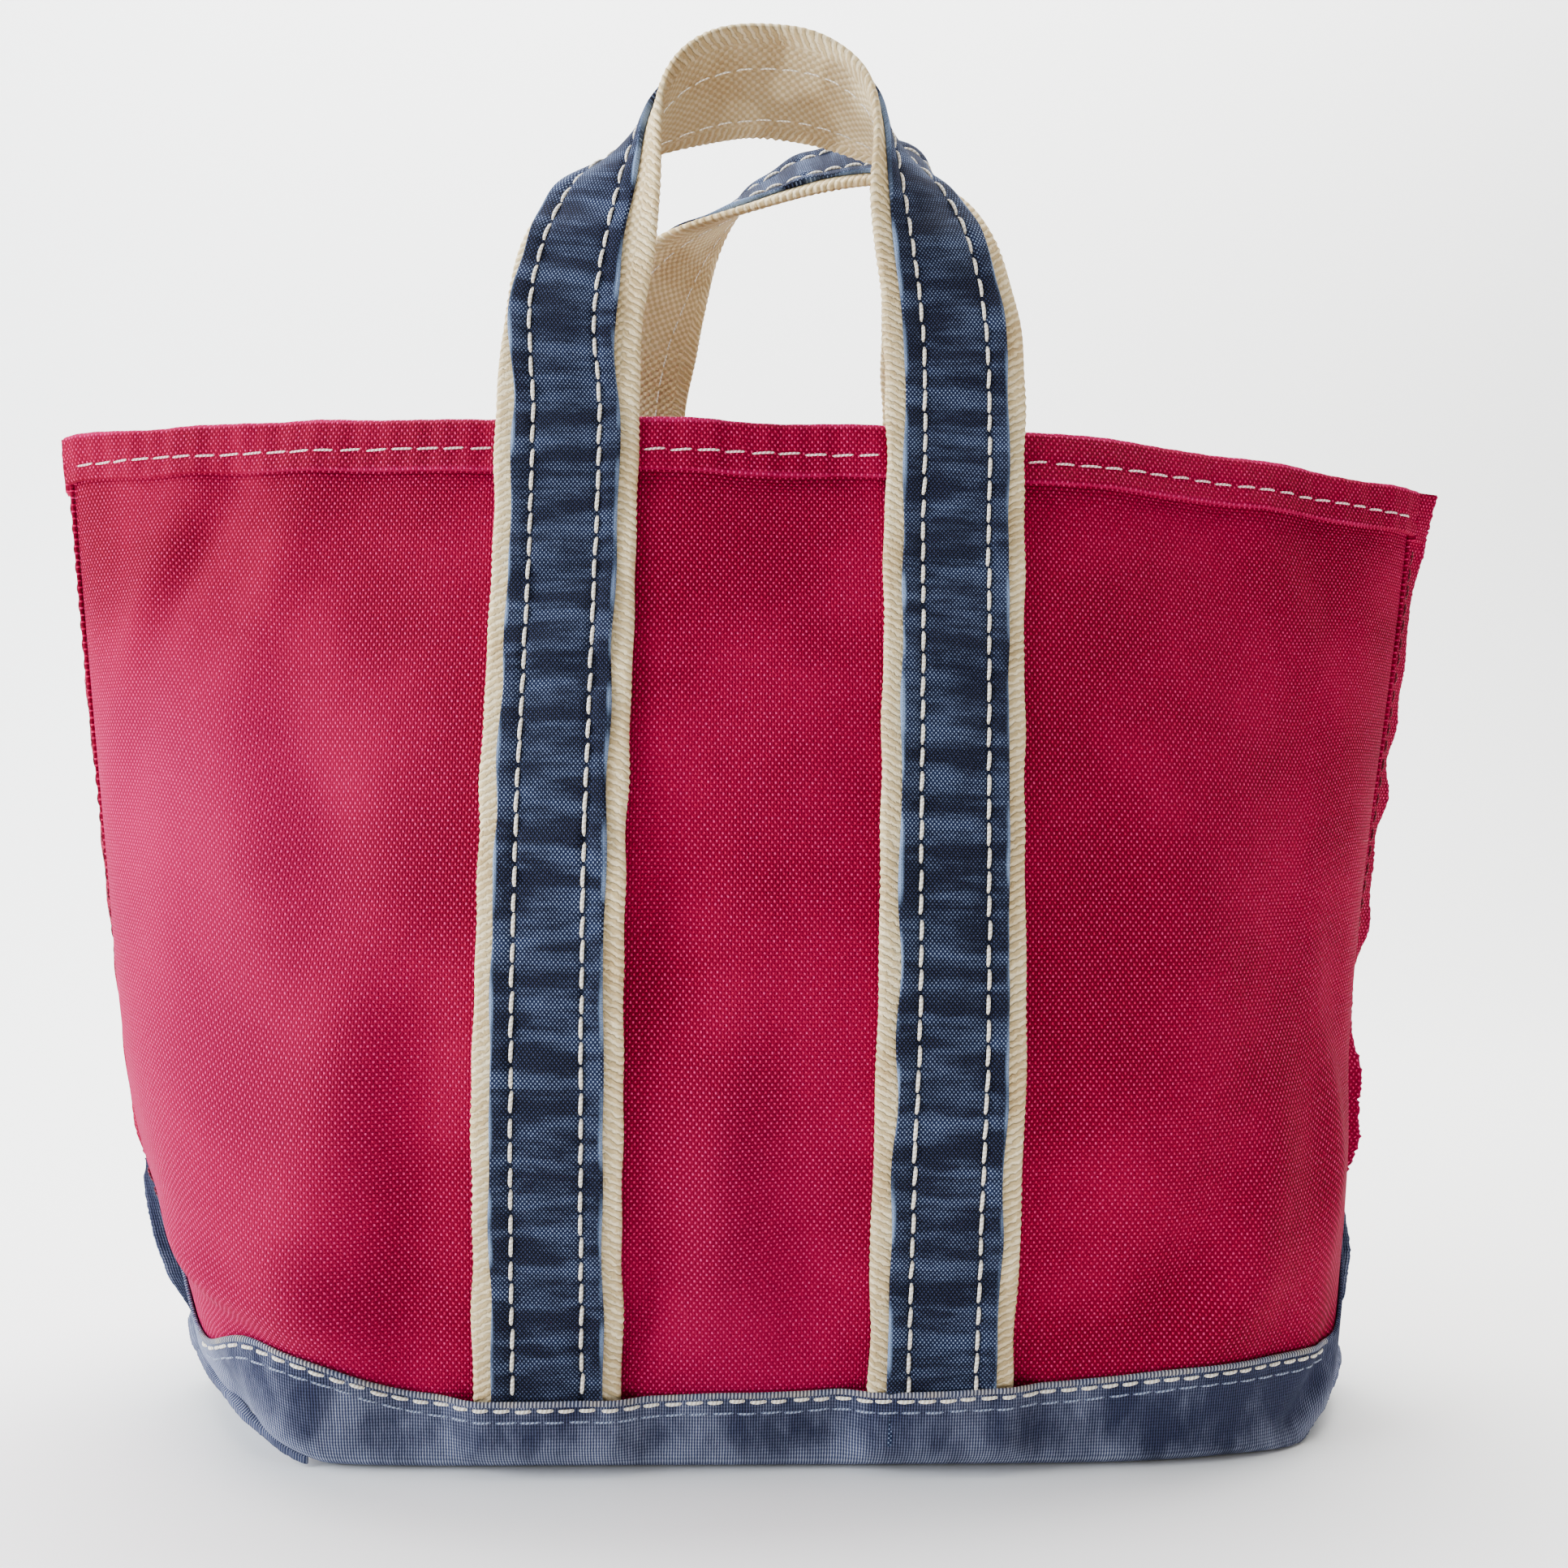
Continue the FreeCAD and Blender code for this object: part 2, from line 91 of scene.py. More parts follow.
SELVEDGE_REACH = 0.79          # the pale edge and its stitches show up to here
BOOT_FRONT_HEIGHT = 22.0
LIFT = {"left": 20.0, "right": 14.0}
LIFT_START = {"left": 108.0, "right": 149.0}
LIFT_FULL = {"left": 154.0, "right": 171.0}
CORNER_FOLD = {"left": 114.0, "right": 151.0}
HANDLE_GAP = 2.0
HANDLE_RISE = 96.0
ARCH_ROUND = 0.87             # power of the handle's arch: 1 is an ellipse, less is squarer
LEAN = {"front": 15.0, "back": 30.0}
TILT = {"front": 25.0, "back": 40.0}
SWAY = {"front": 0.0, "back": 28.0}
MOUTH_SAG = 4.0               # the right end of the hem hangs this much lower
SIGN = {"front": -1.0, "back": 1.0, "left": -1.0, "right": 1.0}

SEAM_X = {
    "left": [(0, 161), (20, 166), (60, 179), (98, 185), (154, 191), (215, 196.5), (277, 201)],
    "right": [(0, 175.5), (20, 177.5), (60, 180.5), (98, 181.5), (160, 189.5), (215, 197), (277, 204)],
}
SEAM_Y = {"left": [(0, 0), (110, 0), (277, -7)], "right": [(0, 0), (110, 0), (277, 4)]}
MIDDLE_Y = {
    "front": [(0, -63), (30, -69), (110, -79), (165, -77), (220, -65), (277, -50)],
    "back": [(0, 63), (30, 68), (110, 75), (165, 72), (220, 60), (277, 44)],
}
FULLNESS = {
    "left": [(0, 9), (60, 8), (120, 3.4), (277, 2.1)],
    "right": [(0, 6), (60, 5), (120, 3), (277, 2.1)],
}
CORNER = {
    "left": [(0, 0.95), (60, 0.90), (120, 0.66), (277, 0.85)],
    "right": [(0, 0.50), (60, 0.60), (120, 0.60), (277, 0.85)],
}
BOOT_TOP = {
    "left": [(0, 22), (0.42, 22), (0.55, 32), (0.64, 34), (0.79, 28), (0.90, 46), (1, 66)],
    "right": [(0, 22), (0.42, 25.5), (0.58, 28), (0.72, 27), (0.82, 28), (0.92, 45), (1, 57)],
}
# A seam allowance's turn towards the back, degrees from straight out, against height.
FLANGE_TURN = {
    "left": [(0, 10), (30, -2), (44, 0), (54, 18), (62, 36), (70, 50), (84, 66), (240, 78), (277, 74)],
    "right": [(0, -8), (36, 0), (46, 16), (56, 26), (66, 14), (78, 6), (90, 20), (102, 48), (120, 52),
              (250, 50), (277, 25)],
}
U_SAMPLES = 601               # places across a panel where its face is worked out
STRAP_STEP = 0.5              # distance between a strap's cross-sections
RNG = np.random.default_rng(11)


# ---- small mathematics --------------------------------------------------------------
def smooth(value):
    """Ease from 0 to 1 with level ends."""
    value = np.clip(value, 0.0, 1.0)
    return value * value * (3.0 - 2.0 * value)


def profile(rows, height):
    """Smooth curve through (height, value) rows, the same one as the CAD design's."""
    keys = np.array([row[0] for row in rows], float)
    values = np.array([row[1] for row in rows], float)
    height = np.clip(np.asarray(height, float), keys[0], keys[-1])
    index = np.clip(np.searchsorted(keys, height, side="left") - 1, 0, len(keys) - 2)
    before = np.maximum(index - 1, 0)
    after = np.minimum(index + 2, len(keys) - 1)
    span = keys[index + 1] - keys[index]
    slope_low = (values[index + 1] - values[before]) / (keys[index + 1] - keys[before]) * span
    slope_high = (values[after] - values[index]) / (keys[after] - keys[index]) * span
    t = (height - keys[index]) / span
    low, high = values[index], values[index + 1]
    return ((2 * t ** 3 - 3 * t ** 2 + 1) * low + (t ** 3 - 2 * t ** 2 + t) * slope_low
            + (3 * t ** 2 - 2 * t ** 3) * high + (t ** 3 - t ** 2) * slope_high)


def unit(vectors):
    """Rows of vectors scaled to length one."""
    length = np.linalg.norm(vectors, axis=-1, keepdims=True)
    return vectors / np.maximum(length, 1e-9)


def bend(centre, radii, start, stop, count):
    """Points on an arc: its centre, its two radii and its first and last angle in degrees."""
    turns = np.radians(np.linspace(start, stop, count))
    return [(centre[0] + radii[0] * math.cos(turn), centre[1] + radii[1] * math.sin(turn))
            for turn in turns]


def hump(value, middle, width):
    """Bell curve, 1 at its middle."""
    return np.exp(-((value - middle) / width) ** 2)


def vectors(x, y, z=0.0):
    """Arrays of three coordinates as one array of vectors; two of them are a place on flat cloth."""
    return np.stack(np.broadcast_arrays(x, y, z), -1)


def rows_at(place, run, table):
    """Rows of a table of vectors, read at places along its run."""
    return np.stack([np.interp(place, run, column) for column in table.T], -1)


def length_along(points):
    """Distance along a line of points, from its first one to each."""
    return np.concatenate([[0], np.cumsum(np.linalg.norm(np.diff(points, axis=0), axis=1))])


def closed(face, back):
    """Rings of a thin solid: the rows of its face, then those of its back the other way."""
    return np.array(face + back[::-1]).transpose(1, 0, 2)


class Waves:
    """Soft seeded unevenness over a plane, about -1 to 1."""

    def __init__(self, seed, wavelength, count=14, stretch=1.0):
        rng = np.random.default_rng(seed)
        angle = rng.uniform(0, FULL_TURN, count)
        size = FULL_TURN / (wavelength * rng.uniform(0.6, 1.8, count))
        self.kx = np.cos(angle) * size
        self.ky = np.sin(angle) * size * stretch
        self.phase = rng.uniform(0, FULL_TURN, count)
        self.share = 1.0 / math.sqrt(count / 2.0)

    def __call__(self, x, y):
        total = 0.0
        for kx, ky, phase in zip(self.kx, self.ky, self.phase):
            total = total + np.sin(kx * x + ky * y + phase)
        return total * self.share * 0.7


def by_end(place, rows, height):
    """Left or right profile's value at a height, by the sign of the place."""
    return np.where(place < 0, profile(rows["left"], height), profile(rows["right"], height))


# ---- the body's outer face ----------------------------------------------------------
def bottom_lift(x):
    """Height of the bottom's edge: level in the middle, curling up to the side seams."""
    lift, start, full = (np.where(x < 0, table["left"], table["right"])
                         for table in (LIFT, LIFT_START, LIFT_FULL))
    return lift * smooth((np.abs(x) - start) / (full - start))


def plan_depth(side, height, s):
    """Distance of the wall from the seam plane at the fraction s of the half width."""
    depth = np.abs(profile(MIDDLE_Y[side], height) - by_end(s, SEAM_Y, height))
    inside = np.maximum(0.0, 1.0 - np.abs(s) ** by_end(s, FULLNESS, height))
    return depth * inside ** by_end(s, CORNER, height)


def mouth_sag(u, z):
    """Drop of the hem towards its right end."""
    return MOUTH_SAG * smooth((u - 0.3) / 0.7) * smooth((z - 140.0) / 137.0)


class Wall:
    """One panel's outer face, sampled evenly along its length at every millimetre of height."""

    def __init__(self, side):
        self.side = side
        heights = np.arange(0.0, math.ceil(HEM_TOP) + 1.0)[:, None]
        s = np.sin(0.5 * math.pi * np.linspace(-1, 1, 481))[None, :]
        x = s * by_end(s, SEAM_X, heights)
        y = by_end(s, SEAM_Y, heights) + SIGN[side] * plan_depth(side, heights, s)
        steps = np.hypot(np.diff(x, axis=1), np.diff(y, axis=1))
        length = np.concatenate([np.zeros((len(heights), 1)), np.cumsum(steps, axis=1)], axis=1)
        length = length - length[:, 240:241]
        self.left = -length[:, 0]
        self.right = length[:, -1]
        self.u = np.linspace(-1, 1, U_SAMPLES)
        rows_x, rows_y = [], []
        for row in range(len(heights)):
            arc = np.where(self.u < 0, self.u * self.left[row], self.u * self.right[row])
            rows_x.append(np.interp(arc, length[row], x[row]))
            rows_y.append(np.interp(arc, length[row], y[row]))
        self.x = np.array(rows_x)
        self.y = np.array(rows_y)
        tangent = unit(vectors(np.gradient(self.x, axis=1), np.gradient(self.y, axis=1)))
        self.nx = -SIGN[side] * tangent[..., 1]
        self.ny = SIGN[side] * tangent[..., 0]

    def sample(self, table, height, u):
        """Table value between its rows and columns."""
        row = np.clip(height, 0, len(table) - 1.001)
        column = np.clip((u + 1) * 0.5 * (U_SAMPLES - 1), 0, U_SAMPLES - 1.001)
        r, c = row.astype(int), column.astype(int)
        fr, fc = row - r, column - c
        return ((table[r, c] * (1 - fc) + table[r, c + 1] * fc) * (1 - fr)
                + (table[r + 1, c] * (1 - fc) + table[r + 1, c + 1] * fc) * fr)

    def half(self, height, u):
        """Length from the middle to the seam that u points at."""
        rows = np.arange(len(self.left))
        return np.where(u < 0, np.interp(height, rows, self.left), np.interp(height, rows, self.right))

    def lift(self, u):
        """Lift of the wall's bottom edge."""
        return bottom_lift(self.sample(self.x, np.zeros_like(u), u))

    def place(self, u, z, offset):
        """Points off the wall at u, from -1 to 1, height z and a distance outwards."""
        u, z, offset = np.broadcast_arrays(np.asarray(u, float), np.asarray(z, float),
                                           np.asarray(offset, float))
        lift = self.lift(u)
        height = HEM_TOP * (z - lift) / (HEM_TOP - lift)
        reach = offset + self.relief(u, z)
        x = self.sample(self.x, height, u) + self.sample(self.nx, height, u) * reach
        y = self.sample(self.y, height, u) + self.sample(self.ny, height, u) * reach
        seam = by_end(u, SEAM_Y, height) + SIGN[self.side] * 0.1
        y = np.where(SIGN[self.side] * (y - seam) < 0, seam, y)
        return vectors(x, y, z - mouth_sag(u, z))

    def relief(self, u, z):
        """Folds and slack in the canvas, outwards positive, in millimetres."""
        arc = u * self.half(z, u)
        seed = 3 if self.side == "front" else 8
        total = 1.0 * Waves(seed, 95.0)(arc, z) + 0.4 * Waves(seed + 1, 38.0)(arc, z * 0.6)
        for middle_arc, middle_z, angle, length, width, height in FOLDS[self.side]:
            turn = math.radians(angle)
            along = (arc - middle_arc) * math.cos(turn) + (z - middle_z) * math.sin(turn)
            across = -(arc - middle_arc) * math.sin(turn) + (z - middle_z) * math.cos(turn)
            total = total + height * np.exp(-(along / length) ** 2 - (across / width) ** 2)
        calm = smooth((z - 1.0) / 9.0) * (1.0 - np.abs(u) ** 10)
        return total * calm

    def normal(self, u, z):
        """Outward direction at a place."""
        step = 1e-3
        across = self.place(u + step, z, 0) - self.place(u - step, z, 0)
        upward = self.place(u, z + 0.5, 0) - self.place(u, z - 0.5, 0)
        return unit(np.cross(across, upward)) * -SIGN[self.side]


# Folds in the slack canvas: along the panel, height, direction in degrees, half length,
# half width and height of the swelling (negative for a dent), all in millimetres.
FOLDS = {
    "front": [
        (-150, 50, -18, 34, 8, 3.2), (-136, 37, -14, 24, 5, -2.8), (-112, 44, -40, 26, 9, 2.0),
        (-10, 78, 86, 44, 12, 3.8), (12, 58, 104, 36, 11, -3.4), (-30, 44, 64, 24, 8, -3.0),
        (22, 34, 70, 20, 9, 1.8), (118, 56, 62, 34, 11, -3.6), (142, 78, 76, 40, 12, 3.0),
        (128, 40, 30, 34, 9, 2.0), (-178, 222, 66, 40, 10, 2.6), (-160, 240, 58, 34, 7, -3.0),
        (-132, 236, 74, 34, 9, 2.2), (-108, 88, 82, 60, 13, 3.8), (-86, 66, 87, 52, 9, -3.6),
        (-140, 165, -61, 60, 16, 3.2), (-118, 176, -66, 46, 12, -2.4), (150, 128, 84, 60, 16, -2.4),
        (118, 150, 96, 60, 18, 2.0), (172, 74, 76, 40, 9, 2.6), (182, 104, 100, 30, 8, -2.2),
        (64, 24, 80, 14, 10, -1.8), (0, 190, 88, 60, 22, 1.6), (-22, 150, 80, 40, 12, -1.8),
        (160, 236, 118, 36, 10, 2.0), (0, 262, 0, 40, 6, -0.8), (84, 70, 98, 50, 10, -1.8),
        (158, 13, 48, 20, 5, -2.8), (170, 16, 60, 16, 5, 1.6), (-136, 12, -50, 16, 5, -2.4),
        (0, 11, 96, 12, 10, 1.0),
    ],
    "back": [
        (150, 48, 18, 36, 9, 3.0), (142, 33, 16, 30, 6, -3.6), (6, 74, 96, 44, 14, 3.0),
        (-18, 52, 74, 30, 9, -2.6), (-120, 42, -22, 38, 10, 2.8), (-112, 27, -24, 30, 7, -3.2),
        (166, 206, 112, 46, 12, 2.6), (150, 232, 118, 36, 8, -2.6), (-150, 150, 84, 60, 14, -2.6),
        (-168, 214, 66, 44, 12, 2.4), (-94, 190, 92, 60, 14, 2.4), (104, 130, 88, 50, 14, -2.6),
        (0, 180, 90, 60, 22, 1.8), (130, 100, 98, 60, 16, 2.4), (-140, 14, -50, 18, 6, -2.0),
    ],
}


# ---- mesh making --------------------------------------------------------------------
def make_mesh(name, points, faces, material, cloth=None, shade=None):
    """Object from points in millimetres; cloth holds each point's place on the flat cloth."""
    mesh = bpy.data.meshes.new(name)
    mesh.from_pydata((np.asarray(points) * MM).tolist(), [], faces)
    if cloth is not None:
        attribute = mesh.attributes.new("cloth", "FLOAT_VECTOR", "POINT")
        attribute.data.foreach_set("vector", np.asarray(cloth, np.float32).ravel())
    if shade is not None:
        attribute = mesh.attributes.new("shade", "FLOAT", "POINT")
        attribute.data.foreach_set("value", np.asarray(shade, np.float32).ravel())
    mesh.validate(clean_customdata=False)
    mesh.shade_smooth()
    piece = bpy.data.objects.new(name, mesh)
    bpy.context.scene.collection.objects.link(piece)
    mesh.materials.append(material)
    return piece


def tube_faces(stations, ring, base=0):
    """Quads of a swept closed ring, with a fan closing each end."""
    rows = np.arange(stations - 1)[:, None] * ring
    columns = np.arange(ring)[None, :]
    following = (columns + 1) % ring
    quads = np.stack([rows + columns, rows + following, rows + ring + following,
                      rows + ring + columns], -1).reshape(-1, 4) + base
    faces = quads.tolist()
    faces.append((np.arange(ring)[::-1] + base).tolist())
    faces.append((np.arange(ring) + (stations - 1) * ring + base).tolist())
    return faces


def swept(name, points, cloth, shade, material, flip=False):
    """Closed solid from an array of rings: stations, ring, xyz."""
    stations, ring = points.shape[:2]
    faces = tube_faces(stations, ring)
    if flip:
        faces = [face[::-1] for face in faces]
    return make_mesh(name, points.reshape(-1, 3), faces, material, cloth.reshape(-1, 3),
                     shade.reshape(-1))


def joined(name, pieces):
    """One object from several, keeping their attributes."""
    bpy.ops.object.select_all(action="DESELECT")
    for piece in pieces:
        piece.select_set(True)
    bpy.context.view_layer.objects.active = pieces[0]
    bpy.ops.object.join()
    pieces[0].name = name
    return pieces[0]


# ---- materials ----------------------------------------------------------------------
class Nodes:
    """Short way to write a material's nodes."""

    def __init__(self, name):
        self.material = bpy.data.materials.new(name)
        self.material.use_nodes = True
        self.tree = self.material.node_tree
        self.shader = self.tree.nodes["Principled BSDF"]

    def feed(self, node, inputs):
        """Values and links for a node's inputs, by their names or numbers."""
        for key, value in inputs.items():
            if isinstance(value, bpy.types.NodeSocket):
                self.tree.links.new(value, node.inputs[key])
            else:
                node.inputs[key].default_value = value

    def add(self, kind, inputs, **settings):
        """Outputs of a new node."""
        node = self.tree.nodes.new(kind)
        for key, value in settings.items():
            setattr(node, key, value)
        self.feed(node, inputs)
        return node.outputs

    def math(self, operation, first, second=0.0):
        return self.add("ShaderNodeMath", {0: first, 1: second}, operation=operation)[0]

    def times(self, first, second):
        return self.math("MULTIPLY", first, second)

    def scaled(self, value, rate, start):
        """Value times a rate, plus a start."""
        return self.add("ShaderNodeMath", {0: value, 1: rate, 2: start}, operation="MULTIPLY_ADD")[0]

    def wave(self, place, rate, phase=0.0):
        """Sine of a place times a rate, shifted by a phase."""
        return self.math("SINE", self.scaled(place, rate, phase))

    def shade(self):
        """The tone marks painted on the mesh: real wear and soil, and in places painted light and shade.
        """
        return self.add("ShaderNodeAttribute", {}, attribute_name="shade")["Fac"]

    def flat(self):
        """Place on the flat cloth: across, along and the vector of both."""
        vector = self.add("ShaderNodeAttribute", {}, attribute_name="cloth")["Vector"]
        parts = self.add("ShaderNodeSeparateXYZ", {0: vector})
        return parts["X"], parts["Y"], vector

    def stretch(self, vector, sizes):
        return self.add("ShaderNodeVectorMath", {0: vector, 1: sizes}, operation="MULTIPLY")[0]

    def noise(self, vector, scale, detail=3.0, roughness=0.5):
        inputs = {"Vector": vector, "Scale": scale, "Detail": detail, "Roughness": roughness}
        return self.add("ShaderNodeTexNoise", inputs)["Fac"]

    def ramp(self, value, low, high):
        """Ease from 0 to 1 between two values."""
        inputs = {"Value": value, "From Min": low, "From Max": high}
        return self.add("ShaderNodeMapRange", inputs, interpolation_type="SMOOTHSTEP")[0]

    def mix(self, share, first, second):
        """Colour between two, by a share; its inputs 6 and 7 are the node's colour pair."""
        return self.add("ShaderNodeMix", {0: share, 6: first, 7: second}, data_type="RGBA")[2]

    def two_tone(self, crown, share, deep, bright):
        """Colour of valleys and crowns, each between its own two display colours."""
        deep, bright = (self.mix(share, rgb(*pair[0]), rgb(*pair[1])) for pair in (deep, bright))
        return self.mix(crown, deep, bright)

    def finish(self, colour, height, depth, roughness, sheen, tint, shine=0.12):
        """Cloth shading: colour, relief of a depth in millimetres and a soft sheen."""
        bump = self.add("ShaderNodeBump", {"Strength": 1.0, "Distance": depth * MM, "Height": height})
        self.feed(self.shader, {
            "Base Color": colour, "Roughness": roughness, "Specular IOR Level": shine,
            "Sheen Weight": sheen, "Sheen Roughness": 0.45, "Sheen Tint": tint,
            "Normal": bump["Normal"]})
        return self.material


def rgb(red, green, blue):
    """Display colour, 0 to 255, as the linear colour that shaders take."""
    channels = []
    for value in (red, green, blue):
        value = value / 255.0
        channels.append(value / 12.92 if value <= 0.04045 else ((value + 0.055) / 1.055) ** 2.4)
    return (*channels, 1.0)


def plain_weave(nodes, across, along, vector, pitch_across, pitch_along):
    """Height of a plain weave: staggered yarn crowns, uneven from yarn to yarn."""
    wander = nodes.times(nodes.noise(vector, 0.22, 2.0), 1.6)
    a = nodes.wave(across, math.pi / pitch_across, wander)
    b = nodes.wave(along, math.pi / pitch_along, wander)
    uneven = nodes.scaled(nodes.noise(vector, 1.1, 1.0), 0.5, -0.25)
    crossing = nodes.scaled(a, b, uneven)
    crown = nodes.ramp(crossing, 0.0, 0.9)
    valley = nodes.ramp(nodes.times(crossing, -1.0), 0.1, 1.0)
    return crown, nodes.scaled(valley, 0.45, crown)


def crimson_canvas():
    nodes = Nodes("crimson_canvas")
    across, along, vector = nodes.flat()
    crown, height = plain_weave(nodes, across, along, vector, 0.78, 1.0)
    fade = nodes.ramp(nodes.noise(vector, 0.018, 4.0), 0.35, 0.7)
    speck = nodes.ramp(nodes.noise(vector, 0.9, 2.0), 0.4, 0.7)
    # Painted highlight and shade: the yarn crowns are lighter and pinker, and the valleys between them
    # darker. The fade and speck noise is the cloth's own uneven tone.
    deep = nodes.mix(fade, rgb(104, 0, 28), rgb(132, 0, 44))
    bright = nodes.mix(speck, rgb(204, 0, 78), rgb(242, 44, 124))
    colour = nodes.mix(crown, deep, bright)
    # The shade attribute mixes in the pale pink: real wear along the hem's edges, and painted light on the
    # panels' left end.
    wear_and_painted_light = nodes.ramp(nodes.shade(), 0.0, 1.0)
    pale = nodes.mix(crown, rgb(186, 10, 84), rgb(246, 66, 156))
    colour = nodes.mix(nodes.times(wear_and_painted_light, 0.75), colour, pale)
    return nodes.finish(colour, height, 0.55, 0.85, 0.0, rgb(255, 120, 160), 0.05)


def navy_facing():
    nodes = Nodes("navy_facing")
    across, along, vector = nodes.flat()
    crown, height = plain_weave(nodes, across, along, vector, 0.53, 0.65)
    bands = nodes.noise(nodes.stretch(vector, (0.03, 0.16, 1.0)), 1.0, 4.0, 0.6)
    patches = nodes.noise(vector, 0.055, 4.0)
    pale_share = nodes.ramp(nodes.scaled(patches, 0.35, bands), 0.58, 0.86)
    # Painted highlight and shade: lighter yarn crowns, darker valleys. The paler pair is real fading.
    colour = nodes.two_tone(crown, pale_share, ((7, 8, 20), (20, 29, 56)), ((50, 58, 88), (134, 152, 184)))
    edge = nodes.shade()
    # Paler folded edges: real wear and a painted highlight along the fold.
    colour = nodes.mix(nodes.times(nodes.ramp(edge, 0.1, 1.0), 0.75), colour, rgb(128, 150, 184))
    # Painted shade: the cloth along the stitch rows is made nearly black, as in their grooves.
    dark = nodes.ramp(nodes.times(edge, -1.0), 0.1, 1.0)
    colour = nodes.mix(nodes.times(dark, 0.8), colour, rgb(8, 10, 22))
    return nodes.finish(colour, height, 0.24, 0.9, 0.06, rgb(170, 190, 255))


def boot_canvas():
    nodes = Nodes("navy_canvas")
    across, along, vector = nodes.flat()
    wander = nodes.times(nodes.noise(vector, 0.2, 2.0), 2.4)
    ribs = nodes.wave(across, FULL_TURN / 0.72, wander)
    picks = nodes.wave(along, FULL_TURN / 0.9, wander)
    rib = nodes.ramp(nodes.scaled(picks, 0.45, ribs), -0.7, 1.1)
    scuff = nodes.noise(nodes.stretch(vector, (0.06, 0.03, 1.0)), 1.0, 5.0, 0.62)
    # The shade attribute brings real wear and the boot's painted side light into the pale share. Lighter
    # rib crowns and darker valleys are painted highlight and shade.
    pale_share = nodes.ramp(nodes.scaled(nodes.shade(), 0.34, scuff), 0.42, 0.92)
    colour = nodes.two_tone(rib, pale_share, ((20, 23, 42), (60, 68, 100)), ((56, 62, 92), (176, 182, 204)))
    return nodes.finish(colour, rib, 0.3, 0.9, 0.08, rgb(215, 220, 255))


def selvedge():
    nodes = Nodes("pale_selvedge")
    across, _, vector = nodes.flat()
    rib = nodes.ramp(nodes.wave(across, FULL_TURN / 0.95), -0.6, 0.9)
    grime = nodes.ramp(nodes.noise(vector, 0.12, 4.0), 0.35, 0.7)
    colour = nodes.two_tone(rib, grime, ((44, 50, 74), (80, 78, 84)), ((150, 156, 176), (196, 186, 172)))
    return nodes.finish(colour, rib, 0.3, 0.9, 0.1, rgb(255, 250, 240))


def cream_webbing():
    nodes = Nodes("cream_webbing")
    across, along, vector = nodes.flat()
    outwards = nodes.math("ABSOLUTE", across)
    edge = nodes.ramp(outwards, 13.4, 14.6)
    wander = nodes.times(nodes.noise(vector, 0.35, 2.0), 2.2)
    slant = nodes.scaled(along, FULL_TURN / 2.2, nodes.times(nodes.noise(vector, 0.6, 2.0), 6.0))
    rope = nodes.ramp(nodes.wave(outwards, 1.5, slant), -0.75, 0.85)
    a = nodes.wave(across, math.pi / 1.3, wander)
    b = nodes.wave(along, math.pi / 1.25, wander)
    knobs = nodes.ramp(nodes.times(a, b), -0.7, 0.8)
    rib = nodes.scaled(nodes.math("SUBTRACT", rope, knobs), edge, knobs)
    fibre = nodes.noise(nodes.stretch(vector, (2.4, 0.9, 1.0)), 1.0, 4.0, 0.65)
    grime = nodes.ramp(nodes.noise(vector, 0.045, 4.0), 0.4, 0.75)
    # The fibre tone is the webbing's own; the rib term darkens the valleys between ribs and cords as
    # painted shade and lightens their crowns as painted highlight.
    share = nodes.scaled(fibre, 0.5, nodes.times(rib, 0.6))
    colour = nodes.two_tone(share, grime, ((186, 158, 104), (158, 126, 80)),
                            ((248, 230, 190), (234, 208, 160)))
    # Brown from the shade attribute: soil and painted shade inside the arch.
    soil_and_painted_shade = nodes.ramp(nodes.shade(), 0.0, 1.0)
    colour = nodes.mix(nodes.times(soil_and_painted_shade, 0.6), colour, rgb(112, 82, 48))
    height = nodes.scaled(fibre, 0.6, rib)
    return nodes.finish(colour, height, 0.42, 0.95, 0.0, rgb(255, 240, 215), 0.06)


def thread(name, light, dark):
    nodes = Nodes(name)
    across, along, _ = nodes.flat()
    # Painted shade: the thread is darker in the grooves between its plies.
    ply = nodes.ramp(nodes.wave(along, FULL_TURN / 1.1, across), -0.9, 0.5)
    return nodes.finish(nodes.mix(ply, dark, light), ply, 0.1, 0.8, 0.25, rgb(255, 250, 240))


# ---- canvas pieces ------------------------------------------------------------------
def panel_ring(z_foot):
    """Cross-section of a panel with its hem turned outwards: offsets and heights."""
    path = [(-CANVAS, z) for z in np.linspace(z_foot, HEM_TOP - 1.8, 74)]
    path += bend((0.65, HEM_TOP - 1.5), (1.75, 1.75), 180, 0, 15)
    path += [(2.45, z) for z in np.linspace(HEM_TOP - 2.4, HEM_FOOT + 1.5, 10)]
    path += bend((1.45, HEM_FOOT + 0.8), (1.05, 1.05), 0, -150, 10)
    path.append((0.05, HEM_FOOT + 0.5))
    path += [(0.0, z) for z in np.linspace(HEM_FOOT - 0.6, z_foot, 220)]
    return np.array(path)


def foot_roll(u):
    """Radius of the soft crease along the bottom, sharper where the bottom curls up."""
    return 5.0 * (1.0 - smooth((np.abs(u) - 0.60) / 0.16)) + 0.6


def foot_tuck(u, rise):
    """How far a wall turns in under the bag at a height above its bottom edge."""
    roll = foot_roll(u)
    inside = np.maximum(roll ** 2 - (roll - np.clip(rise, 0, roll)) ** 2, 0)
    return np.where(rise < roll, roll - np.sqrt(inside), 0.0)


def hem_relief(wall, u, z, outer=1.0):
    """Puckers of the hem and, on its outer layer, a dip from stitch to stitch."""
    arc = u * wall.half(z, u)
    puckers = Waves(21 if wall.side == "front" else 22, 16.0)(arc, z * 0.1)
    return 0.35 * puckers + 0.2 * np.sin(arc * FULL_TURN / HEM_PITCH) * outer


